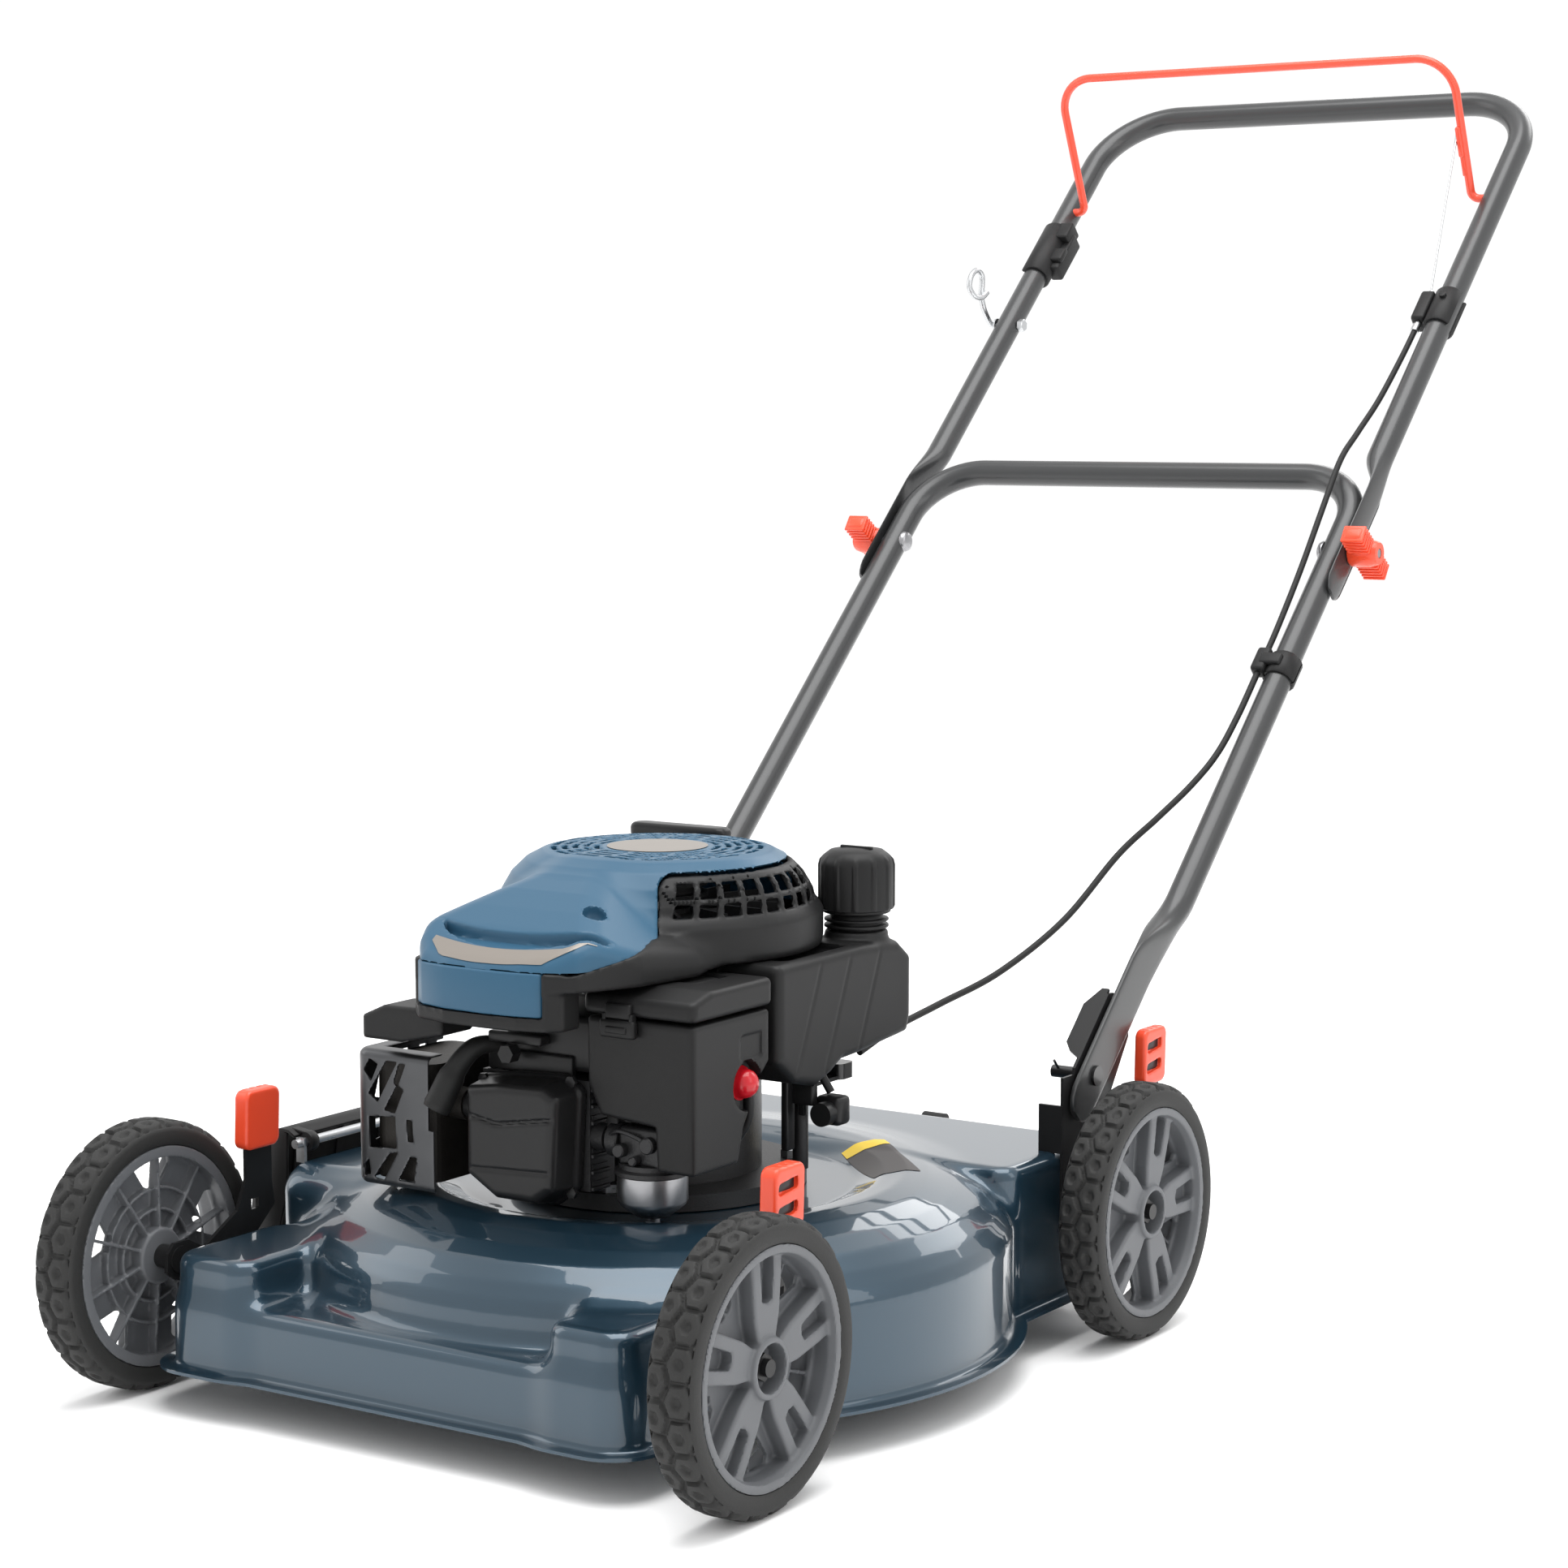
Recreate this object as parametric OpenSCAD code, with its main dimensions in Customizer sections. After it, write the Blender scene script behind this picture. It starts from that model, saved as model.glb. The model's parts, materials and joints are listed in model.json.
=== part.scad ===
// Petrol rotary push mower, 20 inch deck, side discharge, folding two-part handle.
// Front is -Y, the operator stands at +Y, +Z is up. The origin is on the ground,
// under the middle of the whole machine. All dimensions are in millimetres.

/* [Wheels] */
// Wheel diameter over the tread
wheel_d = 200; // [198:1:202]
// Width of the tyre
wheel_w = 36; // [32:1:36]
// Distance between the front and the rear axle
wheelbase = 526.6; // [526:0.2:527]

/* [Deck] */
// Radius of the round blade housing
deck_r = 268; // [266:1:268]
// Height of the cutting lip over the ground
lip_z = 30; // [30:1:32]
// Thickness of the pressed steel
deck_t = 2.5; // [2:0.5:3]
// Length of the blade, tip to tip
blade_len = 508; // [500:1:510]

/* [Handle] */
// Angle of the handle to the ground, in degrees
handle_ang = 43.31; // [43:0.01:43.6]
// Outer diameter of the handle tube
tube_d = 24; // [23:0.5:24]
// Distance between the two grip bars, along the handle
bar_gap = 526.7; // [500:1:528]
// Turn of the wing knobs, in degrees
knob_turn = 12; // [0:1:40]

/* [Engine] */
// Bore of the cylinder
bore_d = 60.5; // [58:0.5:61]
// Stroke of the crank
stroke = 48; // [40:1:48]
// Radius of the flywheel
flywheel_r = 88; // [80:1:90]

/* [Quality] */
// Facets of a full circle
fn = 64; // [32:4:96]

/* [Hidden] */
$fn = fn;
ys = 674.5;                      // the front axle lies this far in front of the origin
ex = 10; ey = 260;               // crankshaft axis
wr = wheel_d / 2;
tr = tube_d / 2;
cyh = 1053.7; czh = 659.7;       // middle of the lower handle's cross bar
sp = -697.2; np = 28.2;          // handle pivot, along and above the handle line
sb = -94.4;                      // clamp bolts, along the handle
lx = 228; ux = 231.5;            // half distance between the handle legs
bail_s = 376.7; bail_n = 4.1;    // bail pivot, along and above the handle line
arm_y = 46; arm_z = -16;         // lever pivot, from its axle
fx = -232;                       // flap hinge rod, across

// ---------- helpers ----------
module P() { translate([0, -ys, 0]) children(); }
module H() { translate([0, cyh - ys, czh]) rotate([handle_ang, 0, 0]) children(); }
module E() { translate([ex, ey - ys, 0]) children(); }
module cylx(x0, y, z, r, h) { translate([x0, y, z]) rotate([0, 90, 0]) cylinder(r = r, h = h); }
module cyly(x, y0, z, r, h) { translate([x, y0, z]) rotate([-90, 0, 0]) cylinder(r = r, h = h); }
module box(x0, x1, y0, y1, z0, z1) { translate([x0, y0, z0]) cube([x1 - x0, y1 - y0, z1 - z0]); }
// points of a rounded rectangle, one corner arc of k steps at each corner
function rrect(x0, x1, y0, y1, r, k = 6) = [for (c = [[x1 - r, y1 - r, 0], [x0 + r, y1 - r, 90],
  [x0 + r, y0 + r, 180], [x1 - r, y0 + r, 270]]) for (i = [0:k])
  [c[0] + r * cos(c[2] + 90 * i / k), c[1] + r * sin(c[2] + 90 * i / k)]];
module rbox(x0, x1, y0, y1, z0, z1, r = 6) {
  translate([0, 0, z0]) linear_extrude(z1 - z0) polygon(rrect(x0, x1, y0, y1, r));
}
// a hexagon along X
module hexx(x0, y, z, af, h) { translate([x0, y, z]) rotate([0, 90, 0]) cylinder(d = af / cos(30), h = h, $fn = 6); }
// involute gear outline with z teeth of module m
function inv(a) = tan(a) - a * PI / 180;
function gear_pts(z, m, ad, de, bl) = let (rp = z * m / 2, rb = rp * cos(20), ra = rp + ad, rd = rp - de,
  half = 90 / z - bl, ri = max(rb, rd))
  [for (i = [0:z - 1]) for (k = [0:7]) let (s = k < 4 ? -1 : 1, q = k < 4 ? k : 7 - k,
    r = q == 0 ? rd : ri + (ra - ri) * (q - 1) / 2,
    al = r <= rb ? 0 : acos(rb / r),
    a = half + (inv(20) - inv(al)) * 180 / PI + (q == 0 ? 0.4 : 0))
    [r * cos(360 * i / z + s * a), r * sin(360 * i / z + s * a)]];
// sweep a round tube of radius r with k sides along a list of points
function unit(v) = v / norm(v);
function tang(p, i) = unit(i == 0 ? p[1] - p[0] : i == len(p) - 1 ? p[i] - p[i - 1] : unit(p[i + 1] - p[i]) + unit(p[i] - p[i - 1]));
module sweep(p, r, k = 8) {
  n = len(p);
  pts = [for (i = [0:n - 1]) let (t = tang(p, i), u = unit(cross(t, [0.02, 0.3, -1])), v = cross(t, u))
    for (j = [0:k - 1]) p[i] + r * cos(360 * j / k) * u + r * sin(360 * j / k) * v];
  polyhedron(points = pts, convexity = 4, faces = concat([[for (j = [0:k - 1]) j]],
    [[for (j = [k - 1:-1:0]) (n - 1) * k + j]],
    [for (i = [0:n - 2]) for (j = [0:k - 1]) [i * k + (j + 1) % k, i * k + j, (i + 1) * k + j, (i + 1) * k + (j + 1) % k]]));
}
// Catmull-Rom points through a hand-chosen route, k per span
function cr(a, b, c, d, t) = 0.5 * (2 * b + (c - a) * t + (2 * a - 5 * b + 4 * c - d) * t * t + (3 * b - a - 3 * c + d) * t * t * t);
function route(p, k) = let (n = len(p)) concat([for (i = [0:n - 2]) for (j = [0:k - 1])
  cr(p[max(i - 1, 0)], p[i], p[i + 1], p[min(i + 2, n - 1)], j / k)], [p[n - 1]]);
// a point in the handle's own frame, as a point of the whole machine
function hp(x, s, n) = [x, cyh - ys + s * cos(handle_ang) - n * sin(handle_ang), czh + s * sin(handle_ang) + n * cos(handle_ang)];

// ---------- deck ----------
module deck_body(t) {
  E() rotate_extrude($fn = 96) polygon([[0, lip_z - t], [deck_r - t, lip_z - t], [deck_r - t, 104 - t * 0.5],
    [deck_r - 3 - t, 114 - t * 0.7], [deck_r - 10 - t * 0.6, 124 - t], [deck_r - 22 - t * 0.4, 132 - t], [deck_r - 38, 138 - t],
    [202 + t * 0.3, 149 - t], [186, 151 - t], [170, 148 - t], [156 - t * 0.3, 142 - t], [0, 142 - t]]);
  P() {
    rbox(-220 + t, 187 - t, -30 + t, 60, lip_z - t, 80 - t, 24);
    rbox(-220 + t, -150 - t, -30 + t, 70, lip_z - t, 112 - t, 18);
    rbox(122 + t, 187 - t, -30 + t, 60, lip_z - t, 112 - t, 18);
    rbox(-238 + t, -165, 112 + t, 395 - t, lip_z - t, 149 - t, 16);
    rbox(-231.1 + t, 231.1 - t, 405, 558 - t, lip_z - t, 146 - t, 20);
  }
}
module deck() {
  color([0.13, 0.22, 0.29]) difference() {
    union() {
      deck_body(0);
      E() cylinder(r = deck_r + 12, h = deck_t + lip_z);
      P() rbox(-231, 197, -42, 60, lip_z, lip_z + deck_t, 28);
    }
    E() translate([0, 0, -1]) cylinder(r = deck_r + 13, h = lip_z + 1);
    deck_body(deck_t);
    P() {
      box(-300, -238.02, 60, 470, 0, 200);                  // the round wall stops at the discharge side
      box(-241, -230, 128, 380, lip_z - 1, 141);            // discharge opening
      box(-300, -231.5, 60, 470, lip_z - 1, lip_z + 10);
      box(-300, -228.5, 396, 600, lip_z - 1, lip_z + 10);
    }
    E() cylinder(r = 31, h = 200);                          // crankshaft passage
    E() for (a = [45, 165, 285]) rotate(a) translate([101.6, 0, 100]) cylinder(r = 4.05, h = 60);
  }
}
// plates that carry the handle, the lever pivots, the racks and the hinge rods
module handle_brackets() {
  color([0.08, 0.08, 0.085]) {
    for (m = [0, 1]) mirror([m, 0, 0]) difference() {
      union() {
        H() translate([231.12, 0, 0]) rotate([90, 0, 90]) linear_extrude(2.6) polygon([[sp - 34, -20],
          [sp + 62, -2], [sp + 70, 10], [sp + 70, 44], [sp + 64, 50], [sp - 10, 50], [sp - 34, 34]]);
        H() translate([0, 0, 47.4]) linear_extrude(2.6) polygon([[222, sp + 6], [216, sp + 14], [216, sp + 52],
          [226, sp + 69], [232, sp + 69], [232, sp]]);
        P() { box(231.12, 233.6, 486, 560, 92, 206); box(213, 233.6, 484, 487, 146.4, 184);
          translate([231.12, 0, 0]) rotate([90, 0, 90]) linear_extrude(2.48) polygon([[540, 92], [556, 66], [586, 66], [592, 78], [580, 104], [560, 150], [540, 150]]); }
      }
      H() cylx(200, sp, np, 5.02, 60);
    }
  }
}
module handle_pins() {
  color([0.12, 0.12, 0.13]) for (m = [0, 1]) mirror([m, 0, 0]) H() {
    cylx(202, sp, np, 5, 39);
    cylx(225.6, sp, np, 8, 5.4);
    cylx(240.1, sp, np, 8, 2.2);
    difference() {
      union() { cylx(206, sp, np - 1, 0.1, 0.1); translate([208, sp, np - 16]) cylinder(r = 1.1, h = 10.6);
        translate([208, sp, np + 5.3]) cylinder(r = 1.1, h = 9); }
      cylx(200, sp, np, 5.2, 20);
    }
  }
}
// lever pivots, flap hinge rod with its spring, shield hinge rod
// shoulder pins of the height levers: side s, wall x0, lever plate x1, axle y
module lever_pin(s, x0, x1, y) {
  mirror([s < 0 ? 1 : 0, 0, 0]) { cylx(x0, y + arm_y, wr + arm_z, 6, x1 - 0.5 - x0);
    cylx(x0 + 1, y + arm_y, wr + arm_z, 4, x1 + 4.6 - x0 - 1); cylx(x1 + 3.6, y + arm_y, wr + arm_z, 7, 1.6); }
}
module hinge_rods() {
  color([0.72, 0.73, 0.75]) P() {
    cyly(fx, 122, 164, 3.5, 276);
    for (y = [128, 376]) difference() { box(fx - 4, fx + 4, y, y + 3, 149, 168); cyly(fx, y - 1, 164, 3.4, 5); }
    for (i = [0:6]) difference() { cyly(fx, 306 + i * 3, 164, 6, 3.05); cyly(fx, 305, 164, 3.4, 40); }
    cylx(-226, 566, 140, 3, 452);
    for (x = [-212, 209]) box(x, x + 3, 558, 570, 136, 144);
    lever_pin(1, 187, 236, 0);
    lever_pin(-1, 220, 236, 0);
    lever_pin(1, 233.6, 245, wheelbase);
    lever_pin(-1, 233.6, 245, wheelbase);
  }
}
module discharge_flap() {
  color([0.07, 0.07, 0.075]) P() difference() {
    union() {
      translate([0, 392, 0]) rotate([90, 0, 0]) linear_extrude(264) polygon([[-237, 170], [-248, 174.5], [-266, 168],
        [-279, 150], [-289, 62], [-286, 61], [-276, 149], [-264, 164.6], [-248, 171], [-238, 167]]);
      for (y = [134, 366]) translate([0, y + 8, 0]) rotate([90, 0, 0]) linear_extrude(8) polygon([[fx + 4, 158],
        [fx + 6.5, 163], [fx + 5, 169], [fx, 171], [-244, 173], [-256, 171], [-262, 163], [-252, 154], [-240, 156.5]]);
      for (y = [128, 389]) translate([0, y + 3, 0]) rotate([90, 0, 0]) linear_extrude(3) polygon([[-246, 170],
        [-252, 171.5], [-266, 167], [-277, 149], [-287, 62], [-262, 70], [-247, 120]]);
    }
    cyly(fx, 100, 164, 3.57, 320);
  }
}
module rear_shield() {
  color([0.06, 0.06, 0.065]) P() difference() {
    union() {
      translate([-205, 0, 0]) rotate([90, 0, 90]) linear_extrude(410) polygon([[563, 133], [567.5, 132], [572, 60],
        [586, 20], [583, 18.6], [568.6, 59], [563.6, 120]]);
      for (x = [-200, -60, 60, 180]) cylx(x, 566, 140, 6.5, 20);
      for (x = [-200, -60, 60, 180]) box(x, x + 20, 562.6, 568.6, 128, 140);
    }
    cylx(-300, 566, 140, 3.07, 600);
  }
}

// ---------- wheels ----------
// sx = +1 left wheel of the machine, -1 right; x0 is the wheel's inner face
module tyre(x0) {
  translate([x0, 0, 0]) rotate([0, 90, 0]) rotate_extrude($fn = 96) polygon([[82, 1], [92, 0], [97, 2], [wr - 1, 6],
    [wr, 12], [wr, wheel_w - 12], [wr - 1, wheel_w - 6], [97, wheel_w - 2], [92, wheel_w], [82, wheel_w - 1],
    [82, wheel_w - 6], [78.2, wheel_w - 8], [78.2, 8], [82, 6]]);
}
module rim(x0) {
  translate([x0, 0, 0]) rotate([0, 90, 0]) difference() {
    union() {
      rotate_extrude($fn = 96) polygon([[72.4, 2], [81.7, 1], [81.7, 5.8], [77.9, 7.8], [77.9, wheel_w - 7.8], [81.7, wheel_w - 5.8],
        [81.7, wheel_w - 0.8], [76.2, wheel_w - 1.2], [74.8, wheel_w - 6], [74.8, 10], [72.4, 4]]);
      rotate_extrude($fn = 48) polygon([[6.08, 2], [13, 2], [13, 10], [22, 11], [22, wheel_w - 3], [17.4, wheel_w - 3],
        [16.6, 19.4], [6.08, 19.4]]);
      rotate_extrude($fn = 96) polygon([[20, 12], [76, 12.5], [76, 16.5], [20, 18]]);
      for (a = [0:72:288]) rotate(a) translate([0, 0, 13]) linear_extrude(12) polygon([[19, -8], [30, -12.4], [75.2, -15.2], [75.2, 15.2], [30, 12.4], [19, 8]]);
    }
    for (a = [0:72:288]) rotate(a) translate([0, 0, 19]) linear_extrude(10) polygon([[42, -4], [80, -6.4], [80, 6.4], [42, 4]]);
    for (a = [36:72:324]) rotate(a) translate([0, 0, 5]) linear_extrude(20) polygon([[50, -4], [70.5, -15], [72, 0], [70.5, 15], [50, 4]]);
  }
}
// height lever: plate with its riveted axle, nut and rack tooth, for the wheel at x0
module lever(s, x0, lp, gy, gz) {
  // axle at (0, 0), pivot at (arm_y, arm_z), hand grip at (gy, gz), plate from lp outwards
  mirror([s < 0 ? 1 : 0, 0, 0]) difference() {
    union() {
      translate([lp, 0, 0]) rotate([90, 0, 90]) linear_extrude(3.2) polygon([[-14, -8], [-6, -14], [20, -24],
        [arm_y, -32], [arm_y + 14, -24], [arm_y + 18, -12], [gy + 17, 22], [gy + 14, 40], [gy + 14, gz + 14],
        [gy + 8, gz + 20], [gy - 8, gz + 20], [gy - 14, gz + 14], [gy - 14, 46], [gy - 24, 24], [26, 4], [8, 13], [-6, 13], [-13, 6]]);
      cylx(lp - 1, 0, 0, 10, 4.2);
      cylx(lp + 3.1, 0, 0, 9, x0 + 1.6 - lp - 3.1);
      cylx(lp + 3, 0, 0, 6, x0 + 32.2 - lp - 3);
      hexx(x0 + 19.7, 0, 0, 17, 8);
    }
    cylx(230, arm_y, arm_z, 4.06, 20);
    translate([lp - 6, gy - 9, 22]) cube([12, 8, 8]);
  }
}
module grip(s, lp, gy, gz) {
  ti = lp > 240 ? 2.4 : 5.6;     // thickness inboard of the plate
  mirror([s < 0 ? 1 : 0, 0, 0]) difference() {
    translate([lp - ti, 0, 0]) rotate([90, 0, 90]) linear_extrude(ti + 8) polygon(rrect(gy - 19, gy + 19, gz - 22, gz + 24, 9));
    translate([lp - 0.05, gy - 14.05, gz - 30]) cube([3.3, 28.1, 50.2]);
    for (z = [-12, 5]) translate([lp + 5, gy - 13, gz + z]) cube([10, 24, 8]);
  }
}
gf = [86, 90]; gr = [77, 106];
module at_w(y) { translate([0, y - ys, wr]) children(); }
module tyre_fl() { color([0.12, 0.12, 0.12]) at_w(0) tyre(253); }
module rim_fl() { color([0.42, 0.43, 0.45]) at_w(0) rim(253); }
module tyre_fr() { color([0.12, 0.12, 0.12]) at_w(0) mirror([1, 0, 0]) tyre(253); }
module rim_fr() { color([0.42, 0.43, 0.45]) at_w(0) mirror([1, 0, 0]) rim(253); }
module tyre_rl() { color([0.12, 0.12, 0.12]) at_w(wheelbase) tyre(259.4); }
module rim_rl() { color([0.42, 0.43, 0.45]) at_w(wheelbase) rim(259.4); }
module tyre_rr() { color([0.12, 0.12, 0.12]) at_w(wheelbase) mirror([1, 0, 0]) tyre(259.4); }
module rim_rr() { color([0.42, 0.43, 0.45]) at_w(wheelbase) mirror([1, 0, 0]) rim(259.4); }
module lever_fl() { color([0.09, 0.09, 0.1]) at_w(0) lever(1, 253, 236, gf[0], gf[1]); }
module lever_fr() { color([0.09, 0.09, 0.1]) at_w(0) lever(-1, 253, 236, gf[0], gf[1]); }
module lever_rl() { color([0.09, 0.09, 0.1]) at_w(wheelbase) lever(1, 259.4, 245, gr[0], gr[1]); }
module lever_rr() { color([0.09, 0.09, 0.1]) at_w(wheelbase) lever(-1, 259.4, 245, gr[0], gr[1]); }
module grip_fl() { color([0.91, 0.25, 0.12]) at_w(0) grip(1, 236, gf[0], gf[1]); }
module grip_fr() { color([0.91, 0.25, 0.12]) at_w(0) grip(-1, 236, gf[0], gf[1]); }
module grip_rl() { color([0.91, 0.25, 0.12]) at_w(wheelbase) grip(1, 245, gr[0], gr[1]); }
module grip_rr() { color([0.91, 0.25, 0.12]) at_w(wheelbase) grip(-1, 245, gr[0], gr[1]); }

// ---------- engine, lower part ----------
camx = -38.184; camy = 38.184;   // camshaft from the crankshaft, 54 mm away
module engine_block() {
  color([0.14, 0.14, 0.15]) difference() {
    union() {
      E() {
        translate([0, 0, 142.2]) cylinder(r = 112, h = 12);
        translate([0, 0, 153]) cylinder(r = 78, h = 101);
        translate([camx, camy, 153]) cylinder(r = 48, h = 93);
        translate([0, 0, 250]) cylinder(r = 22, h = 22);
      }
      P() { cyly(ex, 136, 205, 38, 60); box(-34, 54, 133.9, 144, 168, 242);
        for (i = [0:4]) box(-34, 54, 143, 196, 175 + i * 13.4, 178 + i * 13.4);
        translate([106, 309, 153]) cylinder(r = 6, h = 52.6); translate([106, 309, 153]) cylinder(r = 4, h = 66.5);
        box(-24, 44, 186, 200, 250, 290); box(-24, 44, 176, 200, 282, 290); }
    }
    E() {
      translate([0, 0, 158]) cylinder(r = 72, h = 90);
      translate([camx, camy, 158]) cylinder(r = 43, h = 80);
      translate([0, 0, 100]) cylinder(r = 12.56, h = 200);
      translate([camx, camy, 147]) cylinder(r = 6.06, h = 20);
      translate([camx, camy, 230]) cylinder(r = 6.06, h = 12.6);
      for (a = [45, 165, 285]) rotate(a) translate([101.6, 0, 130]) cylinder(r = 4.05, h = 60);
    }
    P() cyly(ex, 100, 205, bore_d / 2, 100);
  }
}
module cylinder_head() {
  color([0.15, 0.15, 0.16]) P() difference() {
    union() { box(-36, 56, 112, 133.8, 166, 246); for (i = [0:6]) box(-42, 57, 114, 132, 170 + i * 12, 173 + i * 12);
      cylx(-60, 122, 215, 10, 30); cylx(50, 122, 205, 10, 16); translate([-28, 122, 240]) cylinder(r = 9, h = 12); }
    cyly(ex, 124, 205, 26, 20);
    cylx(-70, 122, 215, 7, 60); cylx(30, 122, 205, 7, 60);
  }
}
module valve_cover() {
  color([0.1, 0.1, 0.105]) P() difference() {
    union() { rbox(-39, 52, 104, 111.8, 160, 246, 3);
      translate([0, 104, 0]) rotate([90, 0, 0]) linear_extrude(24) polygon([[-32, 232], [-32, 172], [-8, 158], [30, 158], [44, 168], [46, 240], [38, 246], [-6, 244]]); }
    translate([0, 112, 0]) rotate([90, 0, 0]) linear_extrude(28) polygon([[-28, 230], [-28, 175], [-6, 162], [28, 162], [40, 170], [42, 237], [36, 242], [-4, 240]]);
  }
}
module muffler() {
  color([0.2, 0.19, 0.18]) P() difference() {
    union() { rbox(-132, -74.4, 96, 184, 158, 246, 12); cylx(-80, 122, 215, 12, 19.95); }
    rbox(-129, -78, 99, 181, 161, 243, 9);
    cylx(-100, 122, 215, 9, 60);
    for (i = [0:3]) cylx(-140, 118 + i * 14, 176, 4, 10);
  }
}
module muffler_guard() {
  color([0.36, 0.37, 0.38]) P() difference() {
    rbox(-142, -70, 86, 192, 153, 256, 14);
    rbox(-140.4, -71.6, 87.6, 196, 150, 254.4, 12.4);
    box(-80, -60, 104, 200, 150, 254.3);
    for (i = [0:2]) { box(-132 + i * 18, -122 + i * 18, 80, 90, 226, 246); box(-132 + i * 18, -122 + i * 18, 80, 90, 162, 178); }
    box(-128, -104, 80, 90, 190, 214); box(-92, -86, 80, 90, 190, 214);
    for (i = [0:3]) box(-150, -130, 108 + i * 20, 118 + i * 20, 170, 240);
    for (i = [0:3]) box(-128, -84, 106 + i * 20, 114 + i * 20, 250, 260);
  }
}
// a round rod from p to q
module rod(p, q, r) { v = q - p; L = norm(v); translate(p) rotate([0, acos(v[2] / L), atan2(v[1], v[0])]) cylinder(r = r, h = L); }
module spark_plug() {
  color([0.05, 0.05, 0.055]) P() {
    translate([-28, 122, 252]) cylinder(r = 7, h = 7);
    translate([-28, 121, 259]) sphere(r = 7, $fn = 32);
    rod([-28, 121, 259], [-46, 96, 259], 5.5);
    translate([-46, 96, 259]) sphere(r = 8.5, $fn = 32);
    rod([-46, 96, 259], [-57, 84, 226], 8);
  }
}
module engine_bolts() {
  color([0.6, 0.61, 0.63]) E() for (a = [45, 165, 285]) rotate(a) translate([101.6, 0, 0]) {
    translate([0, 0, 133]) cylinder(r = 4, h = 26); translate([0, 0, 154.4]) cylinder(r = 7.5, h = 6, $fn = 6);
    translate([0, 0, 132]) cylinder(r = 8, h = 7.2, $fn = 6); }
}

// ---------- rotating group ----------
module crankshaft() {
  color([0.6, 0.6, 0.62]) E() {
    translate([0, 0, 62]) cylinder(r = 12.5, h = 118.1);
    translate([0, 0, 163]) linear_extrude(8) polygon(gear_pts(24, 1.5, 1.2, 1.9, 0.25));
    translate([0, 0, 180]) cylinder(r = 32, h = 10);
    translate([0, stroke / 2 - 2, 189.9]) cylinder(r = 9, h = 30.2);
    translate([0, 0, 220]) cylinder(r = 32, h = 10);
    translate([0, 0, 229.9]) cylinder(r = 12.5, h = 58);
    translate([0, 0, 287]) cylinder(r = 9, h = 67);
    translate([0, 0, 350.4]) cylinder(r = 14, h = 6, $fn = 6);
  }
}
module flywheel() {
  color([0.5, 0.51, 0.53]) E() difference() {
    union() {
      translate([0, 0, 333]) cylinder(r = flywheel_r + 10, h = 6);
      translate([0, 0, 333]) cylinder(r = flywheel_r - 26, h = 14);
      translate([0, 0, 329]) cylinder(r = 24, h = 21.3);
      for (a = [0:22.5:337.5]) rotate(a) translate([58, -1.5, 338]) cube([36, 3, 18]);
    }
    translate([0, 0, 320]) cylinder(r = 9.02, h = 60);
    for (a = [0:60:300]) rotate(a) translate([42, 0, 320]) cylinder(r = 8, h = 40);
  }
}
module camshaft() {
  color([0.55, 0.55, 0.57]) translate([ex + camx, ey - ys + camy, 0]) {
    translate([0, 0, 147.2]) cylinder(r = 6, h = 94.8);
    rotate(135 + 180 - 3.75) translate([0, 0, 163]) linear_extrude(8) polygon(gear_pts(48, 1.5, 1.2, 1.9, 0.25));
    for (i = [0, 1]) rotate(i * 100) translate([3, 0, 186 + i * 24]) cylinder(r = 8.5, h = 9);
  }
}
module piston() {
  color([0.75, 0.76, 0.78]) P() difference() {
    cyly(ex, 136, 205, bore_d / 2 - 0.05, 40);
    cyly(ex, 142, 205, bore_d / 2 - 5, 40);
  }
}
module blade_adapter() {
  color([0.3, 0.3, 0.31]) E() difference() {
    union() { translate([0, 0, 62]) cylinder(r = 20, h = 30); translate([0, 0, 58.2]) cylinder(r = 34, h = 6); }
    translate([0, 0, 61.9]) cylinder(r = 12.5, h = 60);
    translate([0, 0, 50]) cylinder(r = 5.1, h = 30);
  }
}
module blade() {
  color([0.25, 0.25, 0.27]) E() rotate(28) difference() {
    union() {
      translate([-blade_len / 2 + 70, -28, 54]) cube([blade_len - 140, 56, 4]);
      for (m = [0, 180]) rotate(m) {
        translate([blade_len / 2 - 71, -28, 54]) cube([67.6, 34, 4]);
        translate([blade_len / 2 - 70, 6, 54]) rotate([28, 0, 0]) cube([66, 26, 4]);
      }
    }
    translate([0, 0, 50]) cylinder(r = 5.1, h = 12);
  }
}
module blade_bolt() {
  color([0.55, 0.56, 0.58]) E() { translate([0, 0, 46]) cylinder(r = 5, h = 15.8); translate([0, 0, 44]) cylinder(r = 11, h = 7, $fn = 6);
    translate([0, 0, 51]) cylinder(r = 17, h = 2.9); }
}

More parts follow.
